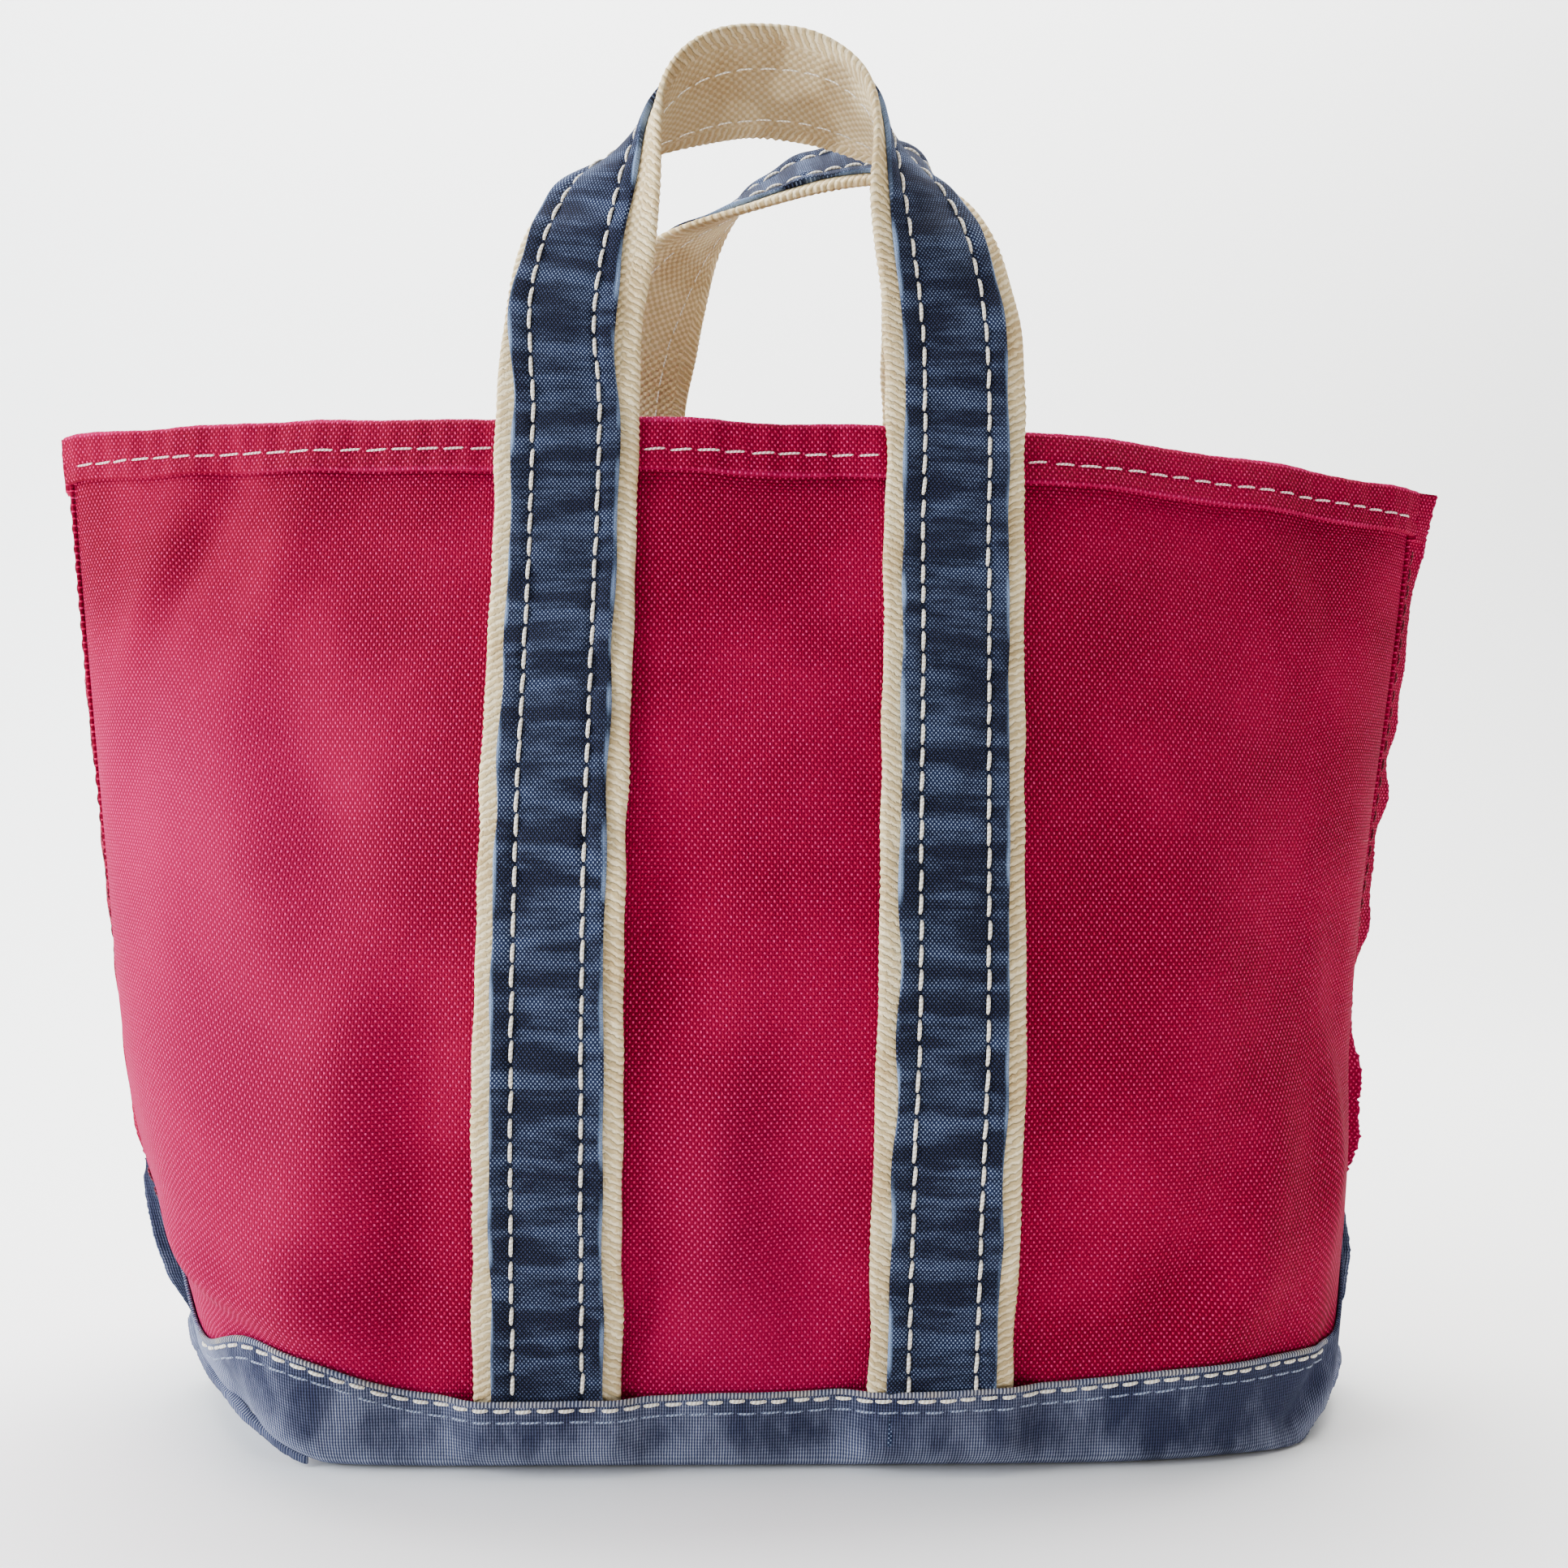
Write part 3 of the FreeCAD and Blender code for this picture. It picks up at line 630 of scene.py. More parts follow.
def body_panel(wall, material):
    """Front or back panel, from under the boot to the folded hem."""
    columns = np.linspace(-1, 1, 341)
    ring = panel_ring(0.0)
    u = columns[:, None] * np.ones(len(ring))[None, :]
    foot = wall.lift(columns)[:, None] + BOOT_CANVAS + 0.2
    share = 1.0 - ring[None, :, 1] / HEM_TOP
    z = ring[None, :, 1] + foot * share
    offset = np.broadcast_to(ring[None, :, 0], z.shape).copy()
    arc = u * wall.half(z, u)
    hem_zone = smooth((z - HEM_FOOT + 6.0) / 6.0)
    offset += hem_zone * hem_relief(wall, u, z, offset > 1.0)
    offset -= 0.45 * hump(z, HEM_ROW, 1.1) * (offset > 1.5)
    offset -= foot_tuck(u, z - wall.lift(columns)[:, None] - 0.6)
    z = z + hem_zone * 0.5 * Waves(31, 45.0)(arc, 0.0)
    points = wall.place(u, z, offset)
    run = np.cumsum(np.abs(np.concatenate([[0], np.diff(ring[:, 1])])))
    cloth = vectors(arc, run[None, :])
    top_edge = hump(z, HEM_TOP, 0.9)
    foot_edge = hump(z, HEM_FOOT, 0.8) * (offset > 1.2)
    # Painted light: the outer face is made paler and pinker towards the left end, standing in for the
    # window light and its sheen from the left. The top and foot edge terms are real wear.
    painted_light_left_end = 0.50 * smooth((-30.0 - arc) / 150.0) * smooth((262.0 - z) / 90.0)
    # Paler low in the middle of the panel.
    paler_low_middle = 0.28 * hump(arc, -4.0, 48.0) * smooth((150.0 - z) / 80.0)
    wear_and_painted_light = 0.9 * top_edge + 0.5 * foot_edge + (painted_light_left_end + paler_low_middle) * (offset > -0.6)
    return swept("body_canvas_" + wall.side, points, cloth, wear_and_painted_light, material,
                 flip=wall.side == "back")


def boot_top(u):
    """Height of the boot's top edge, a little wavy."""
    return by_end(u, BOOT_TOP, np.abs(u)) + 0.35 * Waves(44, 0.22)(u, 0.0) * (1 - u ** 4)


def strap_arc(side, end, z):
    """Where a strap's middle runs up the panel: length along it from the bag's middle."""
    wander = STRAP_WANDER * smooth((HEM_TOP - z) / WANDER_RUN) * (end == "right")
    return SIGN[end] * STRAP_OFFSET + STRAP_SHIFT[side] - wander


def strap_bump(wall, u, z):
    """How far the boot stands off the wall over the tucked-in strap ends."""
    arc = u * wall.half(np.full_like(u, BUMP_HEIGHT), u)
    distance = np.minimum(*(np.abs(arc - strap_arc(wall.side, end, BUMP_HEIGHT))
                            for end in ("left", "right")))
    sideways = smooth((BUMP_REACH - distance) / BUMP_SLOPE)
    stack = WEBBING_THICK + FACING_THICK + 0.3
    return BOOT_GAP + stack * sideways * smooth(z / STRAP_BOTTOM)


def boot_wall(wall, material, edge_material):
    """The boot's upright part, its foot rolled under, and its pale selvedge."""
    columns = np.linspace(-1, 1, 461)
    top = boot_top(columns)
    lift = wall.lift(columns)
    outer, inner, flat = [], [], []
    for step in np.linspace(0, 1, 42):
        z = top + (lift + 0.02 - top) * step
        tuck = foot_tuck(columns, z - lift)
        crest = 0.5 * (1.0 - smooth(step / 0.02))
        bump = strap_bump(wall, columns, z)
        outer.append(wall.place(columns, z, bump + BOOT_CANVAS - crest - tuck))
        flat.append(vectors(columns * wall.half(z, columns), z - lift + tuck))
        inner.append(wall.place(columns, np.maximum(z, lift + 0.9), bump + crest * 0.5 - tuck * 0.9 - 0.1))
    points = closed(outer, inner)
    rubbed_foot = 0.7 * hump(points[..., 2], lift[:, None], 7.0)
    rubbed_corner = 0.6 * hump(np.abs(columns), 0.80, 0.07)[:, None]
    # Painted light and shade: paler towards the left end and middle, darker towards the right end, as
    # light falls from the left. The foot and corner terms are real wear.
    painted_side_light = 0.18 - 0.63 * smooth((columns - 0.25) / 0.6)[:, None]
    tone_marks = rubbed_foot + rubbed_corner + painted_side_light
    piece = swept("boot_canvas_" + wall.side, points, closed(flat, flat), tone_marks, material,
                  flip=wall.side == "front")
    return piece, boot_edge(wall, edge_material)


def boot_edge(wall, material):
    """Pale selvedge strip along the boot's top edge."""
    columns = np.linspace(-SELVEDGE_REACH, SELVEDGE_REACH, 420)
    top = boot_top(columns)
    points, cloth = [], []
    for offset, drop in bend((0.5, -0.55), (0.70, 0.85), 0, 330, 12):
        z = top + drop
        points.append(wall.place(columns, z, strap_bump(wall, columns, z) + offset))
        cloth.append(vectors(columns * wall.half(z, columns), drop))
    points = closed(points, [])
    return swept("boot_selvedge_" + wall.side, points, closed(cloth, []), 0 * points[..., 0], material,
                 flip=wall.side == "back")


def bottom_sheet(name, low, high, inset, material):
    """Bottom between the walls, curled up towards the side seams; inset under the crease."""
    columns, rows = 161, 61
    s = np.sin(math.pi * np.linspace(-0.482, 0.482, columns))[:, None]
    inset = 0.3 + (inset - 0.3) * (1.0 - smooth((np.abs(s) - 0.72) / 0.16))
    half = np.where(s < 0, SEAM_X["left"][0][1], SEAM_X["right"][0][1]) - inset
    x = s * half
    front = -plan_depth("front", np.zeros_like(s), s) + inset
    back = plan_depth("back", np.zeros_like(s), s) - inset
    t = np.linspace(0, 1, rows)[None, :]
    y = front + (back - front) * t
    x = np.broadcast_to(x, y.shape)
    sag = 0.35 * (1 + Waves(41, 60.0)(x, y)) * 16 * (t * (1 - t)) ** 2
    lift = bottom_lift(x)
    under = vectors(x, y, lift + low)
    top = vectors(x, y, lift + high + sag)
    points = np.concatenate([under, top[:, ::-1]], axis=1)
    flat = vectors(x, y)
    cloth = np.concatenate([flat, flat[:, ::-1]], axis=1)
    tone_marks = np.concatenate([0.5 + 0 * y, 0 * y], axis=1)
    return swept(name, points, cloth, tone_marks, material, flip=True)


# ---- seam allowances ----------------------------------------------------------------
def flange_line(end, z):
    """Outward and sideways directions of a seam allowance, and the middle of its root."""
    turn = np.radians(profile(FLANGE_TURN[end], z))
    out = vectors(SIGN[end] * np.cos(turn), np.sin(turn))
    across = vectors(-np.sin(turn) * SIGN[end], np.cos(turn))
    u = np.full_like(z, SIGN[end])
    height = HEM_TOP * (z - LIFT[end]) / (HEM_TOP - LIFT[end])
    root = vectors(SIGN[end] * profile(SEAM_X[end], height), profile(SEAM_Y[end], height),
                   z - mouth_sag(u, z))
    return out, across, root


def allowance(name, end, way, z_low, z_high, root_out, thick, width, seed, material, flare=0.9,
              fray=1.0):
    """One ply of a seam allowance: a strip outside the side seam, its raw edge ragged."""
    z = np.arange(z_low, z_high + 0.01, 0.8)
    wavy = Waves(seed, 26.0)(z, 0.0)
    out, side, root = flange_line(end, z)
    width = width(z) if callable(width) else width + 0 * z
    across = np.linspace(0, 1, 10)
    ragged = fray * 0.39 * RNG.normal(size=len(z))
    face, back = [], []
    for t in across:
        reach = root_out + t * (width + 0.7 * fray * wavy + ragged * t)
        lean = 0.12 + t ** 2 * (flare + 0.7 * wavy)
        place = root + out * reach[:, None]
        face.append(place + side * (way * (lean + thick))[:, None])
        back.append(place + side * (way * lean)[:, None])
    points = closed(face, back)
    flat = np.concatenate([across, across[::-1]]) * FLANGE_WIDTH
    cloth = vectors(flat[None, :], z[:, None])
    shade = np.broadcast_to(smooth((flat - 6.9) / 1.1)[None, :], points.shape[:2]) * 0.8
    return swept(name, points, cloth, shade, material, flip=(SIGN[end] * way < 0))


def side_seam(end, materials):
    """Allowances of one side seam: canvas plies, boot plies outside them, and the hem's end."""
    foot = LIFT[end] + 0.4
    head = BOOT_TOP[end][-1][1]
    seed = 50 if end == "left" else 60

    def narrowing(z):
        return FLANGE_WIDTH * (0.25 + 0.75 * smooth((z - head + 4.0) / 18.0))

    def boot_width(z):
        taper = 2.8 * smooth((z - head + 26.0) / 26.0) + 3.4 * smooth((z - head + 7.0) / 7.0)
        return 3.2 + 5.0 * smooth((z - foot) / 13.0) - taper

    red, navy = [], []
    for way, tag in ((-1, "front"), (1, "back")):
        red.append(allowance("side_seam_" + end + "_" + tag, end, way, head - 4.0, HEM_TOP - 0.4, -0.8,
                             CANVAS, narrowing, seed + way, materials["crimson"]))
        navy.append(allowance("boot_side_seam_" + end + "_" + tag, end, way, foot, head, -0.8,
                              CANVAS + BOOT_CANVAS, boot_width, seed + 4 + way,
                              materials["navy"], 0.3, 0.25))
        red.append(allowance("hem_end_" + end + "_" + tag, end, way, HEM_FOOT - 1.0, HEM_TOP + 0.2,
                             0.2, 2.4, FLANGE_WIDTH - 0.2, seed + 8 + way, materials["crimson"], 0.3))
    return joined("side_seam_" + end, red), joined("boot_side_seam_" + end, navy)


def corner_seam(end, material):
    """The boot's bottom seam: a narrow ragged strip from the front corner to the back one."""
    turns = np.linspace(-1.0, 1.0, 221)
    half = float(SEAM_X[end][0][1])
    s = SIGN[end] * np.cos(turns * math.acos(CORNER_FOLD[end] / half))
    depth = np.where(turns < 0, -plan_depth("front", 0 * s, s), plan_depth("back", 0 * s, s))
    root = vectors(s * half, depth, bottom_lift(s * half))
    outward = unit(vectors(s * half, depth * 1.6))
    width = 0.8 + 2.6 * smooth(1.0 - np.abs(turns))
    ragged = 0.08 * RNG.normal(size=len(turns)) + 0.3 * Waves(71, 22.0)(turns * 120, 0.0)
    across = np.linspace(0, 1, 8)
    top, under = [], []
    for t in across:
        place = root + outward * (0.6 + t * (width + ragged * t))[:, None]
        droop = t * width * 0.5 * np.minimum(1.0, root[:, 2] / 5.0)
        top.append(place + vectors(0.0, 0.0, 2.4 - droop - 0.6 * t))
        under.append(place + vectors(0.0, 0.0, 0.1 - droop))
    points = closed(top, under)
    points[..., 2] = np.maximum(points[..., 2], 0.05)
    flat = np.concatenate([across, across[::-1]]) * 5
    cloth = vectors(length_along(root)[:, None], flat[None, :])
    shade = 0.2 + 0.6 * np.broadcast_to(smooth(flat / 5)[None, :], points.shape[:2])
    return swept("boot_corner_seam_" + end, points, cloth, shade, material,
                 flip=end == "right")


# ---- straps -------------------------------------------------------------------------
def strap_clear(z):
    """Gap behind the strap: it rides up over the hem's extra layers."""
    return 0.35 + (CANVAS + 1.0) * smooth((z - HEM_TOP + HEM_DEPTH + 9.0) / 8.0)


class Strap:
    """Middle line, width direction and outward normal of one strap, foot to foot."""

    def __init__(self, wall):
        side = wall.side
        legs = {}
        for end in ("left", "right"):
            z = np.arange(STRAP_BOTTOM, HEM_TOP, 2.0)
            z = np.append(z, HEM_TOP)
            u = strap_arc(side, end, z) / wall.half(z, np.full_like(z, SIGN[end]))
            normal = wall.normal(u, z)
            middle = wall.place(u, z, strap_clear(z)) + normal * (WEBBING_THICK / 2)
            plan = unit(normal * np.array([1, 1, 0]))
            wide = vectors(-plan[:, 1], plan[:, 0])
            wide = wide * np.where(wide[:, :1] * SIGN[end] > 0, -1.0, 1.0)
            legs[end] = (middle, wide)
        arch_middle, arch_wide = self.arch(side, legs)
        middle = np.concatenate([legs["left"][0][:-1], arch_middle, legs["right"][0][:-1][::-1]])
        wide = np.concatenate([legs["left"][1][:-1], arch_wide, legs["right"][1][:-1][::-1]])
        run = length_along(middle)
        self.length = run[-1]
        self.s = np.arange(0, self.length, STRAP_STEP)
        self.middle = self.even(run, middle, 4.0)
        wide = self.even(run, wide, 3.0)
        along = unit(np.gradient(self.middle, axis=0))
        self.wide = unit(wide - along * np.sum(wide * along, axis=1, keepdims=True))
        self.normal = np.cross(self.wide, along) * -SIGN[side]

    def even(self, run, values, blur):
        """Values at even steps, softened over a few millimetres."""
        out = rows_at(self.s, run, values)
        reach = int(3 * blur / STRAP_STEP)
        kernel = np.exp(-0.5 * (np.arange(-reach, reach + 1) * STRAP_STEP / blur) ** 2)
        kernel /= kernel.sum()
        before = 2 * out[:1] - out[reach:0:-1]
        after = 2 * out[-1:] - out[-2:-reach - 2:-1]
        padded = np.concatenate([before, out, after])
        return np.stack([np.convolve(column, kernel, mode="valid") for column in padded.T], -1)

    def arch(self, side, legs):
        """Free part over the hem: legs up, crown turned level, as the frame's handle."""
        tilt = math.radians(TILT[side])
        crown = np.array([0, SIGN[side] * math.cos(tilt), math.sin(tilt)])
        middles, crossings = [], []
        for turn in np.linspace(0, 1, 121):
            end = "left" if turn < 0.5 else "right"
            angle = math.pi * min(turn, 1 - turn)
            foot, wide = legs[end][0][-1], legs[end][1][-1]
            across = max(math.cos(angle), 0) ** ARCH_ROUND
            up = math.sin(angle) ** ARCH_ROUND
            centre = STRAP_SHIFT[side]
            middles.append([centre + (foot[0] - centre) * across + SWAY[side] * up ** 4,
                            foot[1] - SIGN[side] * LEAN[side] * up ** 1.5,
                            HEM_TOP + HANDLE_GAP + HANDLE_RISE * up])
            share = float(smooth(angle / (0.5 * math.pi)))
            crossings.append(wide * (1 - share) + crown * share)
        return np.array(middles), np.array(crossings)

    def at(self, s, across, out):
        """Point on the strap: run along it, distance across and out from its middle."""
        middle, wide, normal = (rows_at(s, self.s, table)
                                for table in (self.middle, self.wide, self.normal))
        return middle + wide * np.asarray(across)[..., None] + normal * np.asarray(out)[..., None]


def facing_drift(strap, side, s):
    """How far the facing sits off the webbing's middle: outwards on the front handle's left leg."""
    if side == "back":
        return 0.0 * s
    return -3.2 * smooth((s - 272.0) / 34.0) * (1.0 - smooth((s - strap.length / 2 + 10.0) / 60.0))


def strip_ring(half_width, low, high, count, bulge):
    """Cross-section of a strip with rounded edges, as (across, out) pairs."""
    half = (high - low) / 2
    middle = (high + low) / 2
    flat = np.linspace(half_width - half * bulge, -half_width + half * bulge, count)
    ring = [(across, high) for across in flat]
    ring += bend((half * bulge - half_width, middle), (-half * bulge, half), 80, -80, 7)
    ring += [(across, low) for across in flat[::-1]]
    ring += bend((half_width - half * bulge, middle), (half * bulge, half), -80, 80, 7)
    return np.array(ring)


def rings_along(ring, s):
    """One cross-section at every place along a strip: distances across and out."""
    return (np.tile(ring[:, column], (len(s), 1)) for column in (0, 1))


def webbing(strap, side, material):
    """One length of thick webbing, its rope-like edges and twill ribs in relief."""
    ring = strip_ring(WEBBING_WIDTH / 2, -WEBBING_THICK / 2, WEBBING_THICK / 2, 22, 1.3)
    s = strap.s[:, None]
    across, out = rings_along(ring, s)
    edge = smooth((np.abs(across) - WEBBING_WIDTH / 2 + 5.0) / 2.0)
    pick = FULL_TURN * s / 2.3
    rope = np.sin(pick + np.abs(across) * 1.15 + 0.6 * Waves(81, 9.0)(s, across))
    uneven = 0.55 + 0.45 * Waves(84, 14.0)(s, across)
    out += np.sign(out) * edge * (0.13 * rope * uneven + 0.1)
    brink = np.sign(across) * smooth((np.abs(across) - WEBBING_WIDTH / 2 + 1.5) / 1.0)
    across += brink * (0.16 * rope * uneven + 0.3 * Waves(82, 30.0)(s, 0.0))
    knobs = 0.08 * np.sin(FULL_TURN * across / 2.6) * np.sin(pick)
    out += np.sign(out) * (1 - edge) * knobs
    points = strap.at(np.broadcast_to(s, across.shape), across, out)
    cloth = vectors(across, s)
    # Inner face of the arch darker and browner: real soil, and painted shade, most on the left side of the
    # arch.
    free = hump(s, strap.length / 2, 60.0)
    left_shade_and_soil = hump(s, strap.length / 2 - 26.0, 30.0)
    patches = 0.25 + 0.5 * smooth(0.5 + 0.8 * Waves(83, 20.0)(s, across))
    soil_and_painted_shade = (out < 0) * (free * patches + 0.7 * left_shade_and_soil)
    return swept(side + "_strap_webbing_cloth", points, cloth, soil_and_painted_shade, material,
                 flip=side == "back")


def facing(strap, side, material):
    """Navy strip on the webbing: folded edges, quilted between its stitch rows, puckered."""
    low = WEBBING_THICK / 2 + 0.05
    ring = strip_ring(FACING_WIDTH / 2, low, low + FACING_THICK, 34, 1.0)
    s = strap.s[::2][:, None]
    across, out = rings_along(ring, s)
    seed = 91 if side == "front" else 95
    upper = smooth((out - low - 0.2) / 0.8)
    row = hump(np.abs(across), FACING_ROW, 0.9)
    pucker = Waves(seed, 13.0, stretch=0.25)(s, across)
    quilt = 0.35 * smooth(1 - np.abs(across) / FACING_ROW)
    lip = 0.3 * smooth((np.abs(across) - FACING_ROW - 1.0) / 2.0)
    out += upper * (quilt + lip + 0.38 * pucker * (1 - row) - 0.5 * row)
    wander = 0.35 * Waves(seed + 1, 24.0)(s, np.sign(across) * 40)
    across += np.sign(across) * smooth((np.abs(across) - FACING_ROW) / 4.0) * wander
    points = strap.at(np.broadcast_to(s, across.shape), across + facing_drift(strap, side, s), out)
    cloth = vectors(across, s)
    # Tone marks: paler folded edges, worn and with a painted highlight; darker along the stitch rows,
    # painted shade in their grooves.
    brink = smooth((np.abs(across) - FACING_WIDTH / 2 + 1.3) / 1.1)
    tone_marks = brink * (0.55 + 0.45 * Waves(seed + 2, 18.0)(s, across)) - 0.9 * row
    return swept(side + "_strap_facing_cloth", points, cloth, tone_marks, material,
                 flip=side == "back")


# ---- stitches -----------------------------------------------------------------------
def stitch_rows(name, rows, pitch, length, radius, material, slant):
    """Separate stitches along rows: each row gives a function from run to point and normal."""
    stations, ring = 10, 8
    t = np.linspace(0, 1, stations)
    angle = np.linspace(0, FULL_TURN, ring, endpoint=False)
    taper = 0.3 + 0.7 * np.sin(math.pi * np.clip(t, 0.02, 0.98)) ** 0.35
    all_points, all_cloth, faces = [], [], []
    for place, start, stop in rows:
        count = max(1, int((stop - start) / pitch))
        for index in range(count):
            first = start + (index + 0.5) * (stop - start) / count - length / 2
            first = first + RNG.normal() * 0.12
            run = first + t * length * (1 + 0.05 * RNG.normal())
            middle, normal, side = place(run)
            bow = radius * (1.25 * np.sin(math.pi * t) ** 0.5 - 0.85)
            skew = slant * (t - 0.5) * (1 + 0.4 * RNG.normal()) + 0.08 * RNG.normal()
            spine = middle + normal * bow[:, None] + side * skew[:, None]
            round_side = np.cos(angle)[None, :, None] * side[:, None, :]
            round_up = np.sin(angle)[None, :, None] * normal[:, None, :] * 0.8
            twist = 1.0 + 0.07 * np.sin(2 * angle[None, :] + 9.0 * t[:, None])
            reach = (radius * taper[:, None] * twist)[..., None]
            points = spine[:, None, :] + (round_side + round_up) * reach
            base = len(all_points) * stations * ring
            faces.extend(tube_faces(stations, ring, base))
            all_points.append(points.reshape(-1, 3))
            all_cloth.append(vectors(angle[None, :], (t * length)[:, None]).reshape(-1, 3))
    points = np.concatenate(all_points)
    return make_mesh(name, points, faces, material, np.concatenate(all_cloth), np.zeros(len(points)))


def wall_row(wall, height, lift_off):
    """A stitch row along a wall: height and stand-off are functions of u."""
    u_table = np.linspace(-1, 1, 1201)
    z_table = height(u_table)
    points = wall.place(u_table, z_table, lift_off(u_table, z_table))
    run = length_along(points)
    along = unit(np.gradient(points, axis=0))
    normal = wall.normal(np.clip(u_table, -0.995, 0.995), z_table)
    normal = unit(normal - along * np.sum(normal * along, axis=1, keepdims=True))
    side = np.cross(normal, along)

    def place(distance):
        return [rows_at(distance, run, table) for table in (points, normal, side)]

    def run_at(u):
        return float(np.interp(u, u_table, run))

    return place, run_at


def strap_row(strap, side, across, out):
    """A stitch row along a strap."""

    def place(distance):
        middle = strap.at(distance, across + facing_drift(strap, side, distance),
                          np.full_like(distance, out))
        normal, wide = (rows_at(distance, strap.s, table) for table in (strap.normal, strap.wide))
        return middle, normal, wide

    return place


def strap_threads(strap, side, material):
    """Two rows of heavy stitches along the facing from boot to boot, and the same rows' small
    bobbin stitches on the webbing's inner face, where it is free."""
    inset = BOOT_FRONT_HEIGHT - STRAP_BOTTOM + 1.0
    reach = HANDLE_RISE * 1.28
    face = WEBBING_THICK / 2 + FACING_THICK - 0.05
    settings = (("stitches", face, inset, strap.length - inset, 5.3, 0.52, 0.25),
                ("bobbin_stitches", -WEBBING_THICK / 2 - 0.02, strap.length / 2 - reach,
                 strap.length / 2 + reach, 4.6, 0.3, 0.1))
    pieces = []
    for tag, out, start, stop, length, radius, slant in settings:
        rows = [(strap_row(strap, side, across, out), start, stop)
                for across in (-FACING_ROW, FACING_ROW)]
        pieces.append(stitch_rows(side + "_strap_" + tag, rows, STRAP_PITCH, length, radius,
                                  material, slant))
    return pieces


def wall_threads(wall, threads):
    """Hem row, and the boot's thick upper and thin lower rows."""
    clear = WEBBING_WIDTH / 2 + 0.5
    stops = []
    for end in ("left", "right"):
        for edge in (-clear, clear):
            arc = strap_arc(wall.side, end, HEM_TOP) + edge
            stops.append(arc / float(wall.half(np.array(HEM_TOP), np.array(arc))))
    hem, at = wall_row(wall, lambda u: np.full_like(u, HEM_ROW),
                       lambda u, z: HEM_FACE + hem_relief(wall, u, z))
    spans = ((-0.975, stops[0]), (stops[1], stops[2]), (stops[3], 0.975))
    pieces = [stitch_rows("hem_stitches_" + wall.side, [(hem, at(a), at(b)) for a, b in spans],
                          HEM_PITCH, 6.4, 0.34, threads["pink"], 0.35)]
    reach = SELVEDGE_REACH - 0.006
    settings = (("upper", 2.1, 5.5, 4.7, 0.5, "cream"), ("lower", 5.2, 6.2, 5.7, 0.3, "grey"))
    for tag, drop, pitch, length, radius, tone in settings:
        row, at = wall_row(wall, lambda u: boot_top(u) - drop,
                           lambda u, z: strap_bump(wall, u, z) + BOOT_CANVAS + 0.02)
        pieces.append(stitch_rows("boot_" + tag + "_stitches_" + wall.side,
                                  [(row, at(-reach), at(reach))], pitch, length, radius,
                                  threads[tone], 0.15))
    return pieces


def seam_threads(end, material):
    """Stitches along the root of one side seam's allowance, front and back."""
    rows = []
    head = BOOT_TOP[end][-1][1]
    for way in (-1, 1):
        spans = ((LIFT[end] + 5.0, head - 2.0, CANVAS + BOOT_CANVAS),
                 (head + 2.0, HEM_FOOT - 3.0, CANVAS))
        for low, high, face in spans:

            def place(z, way=way, face=face):
                out, side, root = flange_line(end, z)
                return root + out * 1.6 + side * (way * (face + 0.3)), side * way, out

            rows.append((place, low, high))
    return stitch_rows("side_seam_stitches_" + end, rows, SEAM_PITCH, 4.6, 0.4, material, 0.25)


# ---- build --------------------------------------------------------------------------
materials = {"crimson": crimson_canvas(), "navy": boot_canvas(), "facing": navy_facing(),
             "selvedge": selvedge(), "webbing": cream_webbing()}
threads = {"cream": thread("cream_thread", rgb(244, 238, 226), rgb(196, 184, 164)),
           "pink": thread("hem_thread", rgb(250, 226, 224), rgb(206, 130, 140)),
           "grey": thread("grey_thread", rgb(150, 160, 184), rgb(84, 94, 120)),
           "wine": thread("seam_thread", rgb(122, 12, 44), rgb(60, 4, 20))}
walls = {side: Wall(side) for side in ("front", "back")}

def fixed(piece, slot, *nodes):
    """Fix a piece to the bag and hide the CAD nodes that it stands for; the slot is not used."""
    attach(piece, "bag")
    if nodes:
        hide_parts(*nodes)


for side, wall in walls.items():
    canvas = body_panel(wall, materials["crimson"])
    fixed(canvas, "crimson_canvas", "body_" + side, side + "_hem")

    boot, edge = boot_wall(wall, materials["navy"], materials["selvedge"])
    fixed(boot, "navy_canvas", "boot_" + side)
    fixed(edge, "navy_canvas")

    hem, upper, lower = wall_threads(wall, threads)
    fixed(hem, "cream_thread", side + "_hem_thread")
    fixed(upper, "cream_thread", "boot_" + side + "_upper_thread")
    fixed(lower, "cream_thread", "boot_" + side + "_lower_thread")

for name, low, high, inset, tone, slot, node in (
        ("boot_bottom_canvas", 0.0, BOOT_CANVAS, 5.0, "navy", "navy_canvas", "boot_bottom"),
        ("body_bottom_canvas", BOOT_CANVAS + 0.2, BOOT_CANVAS + 0.2 + CANVAS, CANVAS, "crimson",
         "crimson_canvas", "body_bottom")):
    sheet = bottom_sheet(name, low, high, inset, materials[tone])
    fixed(sheet, slot, node)

for end in ("left", "right"):
    red, navy = side_seam(end, materials)
    fixed(red, "crimson_canvas", "side_seam_" + end)
    fixed(navy, "navy_canvas", "boot_side_seam_" + end)
    fixed(corner_seam(end, materials["navy"]), "navy_canvas", "boot_corner_seam_" + end)
    fixed(seam_threads(end, threads["wine"]), "cream_thread", "side_seam_" + end + "_thread")

for side, wall in walls.items():
    strap = Strap(wall)
    band = webbing(strap, side, materials["webbing"])
    cover = facing(strap, side, materials["facing"])
    sewing, bobbin = strap_threads(strap, side, threads["cream"])
    for piece, slot, part in ((band, "cream_webbing", "webbing"), (cover, "navy_facing", "facing"),
                              (sewing, "cream_thread", "thread")):
        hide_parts(side + "_strap_left_" + part, side + "_strap_right_" + part,
                    side + "_handle_" + part)
    for piece in (band, cover, sewing, bobbin):
        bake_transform(piece)


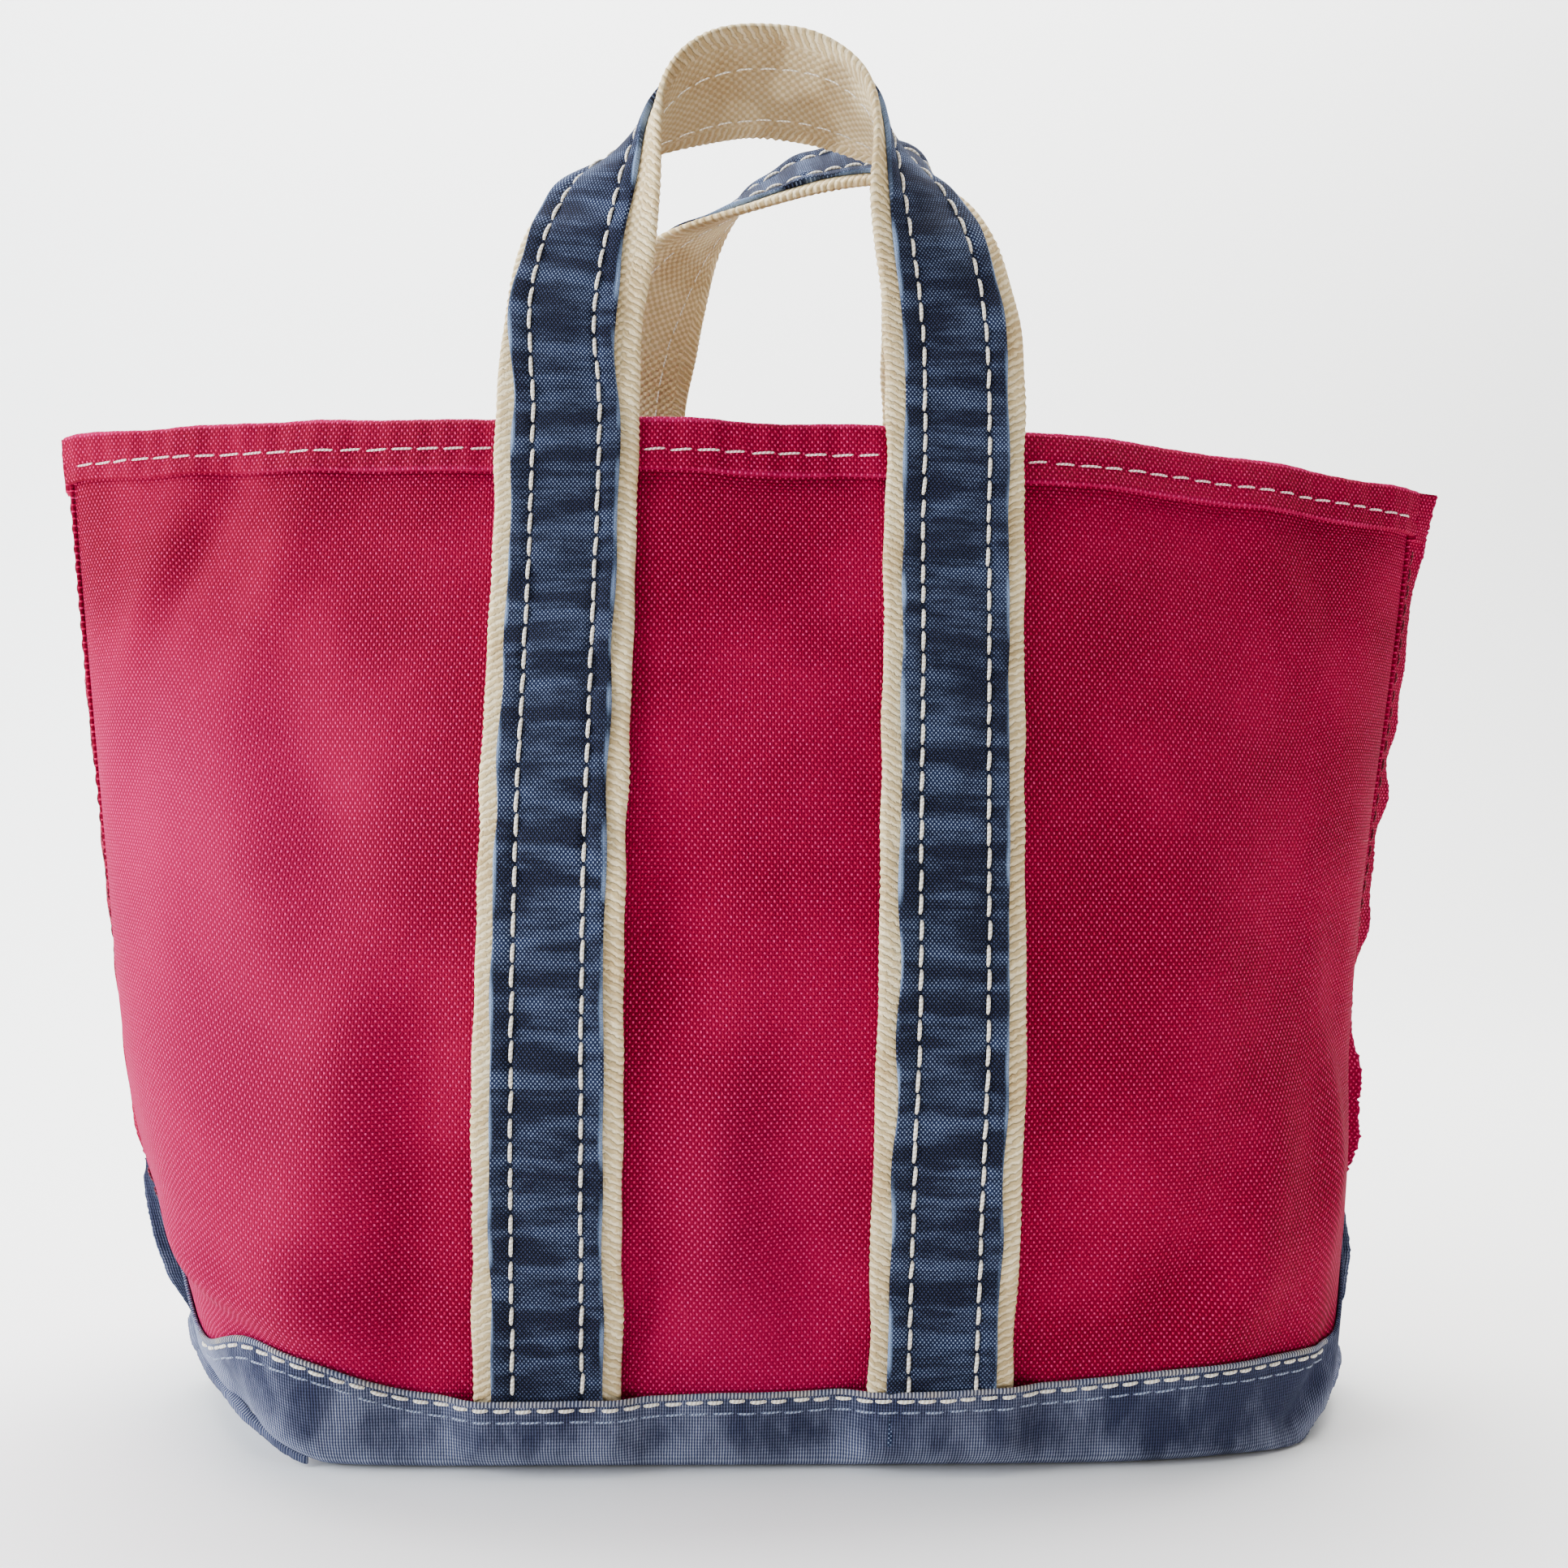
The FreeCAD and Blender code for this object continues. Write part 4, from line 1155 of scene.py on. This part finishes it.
# ---- stage, light and camera --------------------------------------------------------
def plain(name, colour, roughness):
    """Plain paint for the stage."""
    material = bpy.data.materials.new(name)
    material.use_nodes = True
    shader = material.node_tree.nodes["Principled BSDF"]
    shader.inputs["Base Color"].default_value = colour
    shader.inputs["Roughness"].default_value = roughness
    return material


def backdrop():
    """Pale floor that curves up into a wall behind."""
    path = [(-1.6, 0.0), (0.6, 0.0)] + bend((0.6, 0.5), (0.5, 0.5), -90, 0, 13) + [(1.1, 2.6)]
    points, faces = [], []
    for x in (-2.4, 2.4):
        points += [(x / MM, y / MM, z / MM) for y, z in path]
    count = len(path)
    for index in range(count - 1):
        faces.append((index, index + count, index + count + 1, index + 1))
    make_mesh("floor", points, faces, plain("floor_paint", rgb(250, 250, 248), 0.6))


def area_light(name, place, target, size, power, colour):
    """Soft rectangular light that faces a target."""
    data = bpy.data.lights.new(name, "AREA")
    data.shape = "RECTANGLE"
    data.size, data.size_y = size
    data.energy = power
    data.color = colour
    light = bpy.data.objects.new(name, data)
    light.location = place
    light.rotation_euler = (Vector(target) - Vector(place)).to_track_quat("-Z", "Y").to_euler()
    bpy.context.scene.collection.objects.link(light)


def stage():
    """Window light from the left, a weak fill, light from above and a dim room."""
    backdrop()
    area_light("window", (-1.40, -0.36, 0.62), (0, 0, 0.15), (1.0, 1.1), 60, (0.86, 0.92, 1.0))
    area_light("fill", (0.9, -1.4, 0.6), (0, 0, 0.15), (1.2, 1.0), 2, (1.0, 0.90, 0.80))
    area_light("overhead", (0.0, 0.1, 1.3), (0, 0, 0.1), (1.4, 1.2), 16, (1.0, 0.98, 0.95))
    area_light("backdrop_wash", (0.0, 0.45, 1.7), (0, 1.0, 0.3), (2.4, 0.8), 90, (1.0, 1.0, 1.0))
    world = bpy.data.worlds.new("room")
    world.use_nodes = True
    background = world.node_tree.nodes["Background"]
    background.inputs["Color"].default_value = (0.90, 0.89, 0.90, 1)
    background.inputs["Strength"].default_value = 0.36
    bpy.context.scene.world = world


def camera():
    """Close, level view of the front, a little left of square, as the bag is looked at."""
    yaw, roll = math.radians(2.6), math.radians(0.9)
    target, distance, shift = Vector((0, -0.0635, 0.180)), 0.411, 0.0067
    ahead = Vector((math.sin(yaw), math.cos(yaw), 0))
    right = Vector((math.cos(yaw), -math.sin(yaw), 0))
    place = target - ahead * distance + right * shift
    data = bpy.data.cameras.new("camera")
    data.lens, data.sensor_width = 36.0, 36.0
    data.clip_start = 0.02
    eye = bpy.data.objects.new("camera", data)
    turn = Matrix.Rotation(-yaw, 3, "Z") @ Matrix.Rotation(math.radians(90), 3, "X")
    turn = turn @ Matrix.Rotation(roll, 3, "Z")
    eye.matrix_world = Matrix.Translation(place) @ turn.to_4x4()
    bpy.context.scene.collection.objects.link(eye)
    bpy.context.scene.camera = eye


stage()
camera()
bpy.context.view_layer.update()
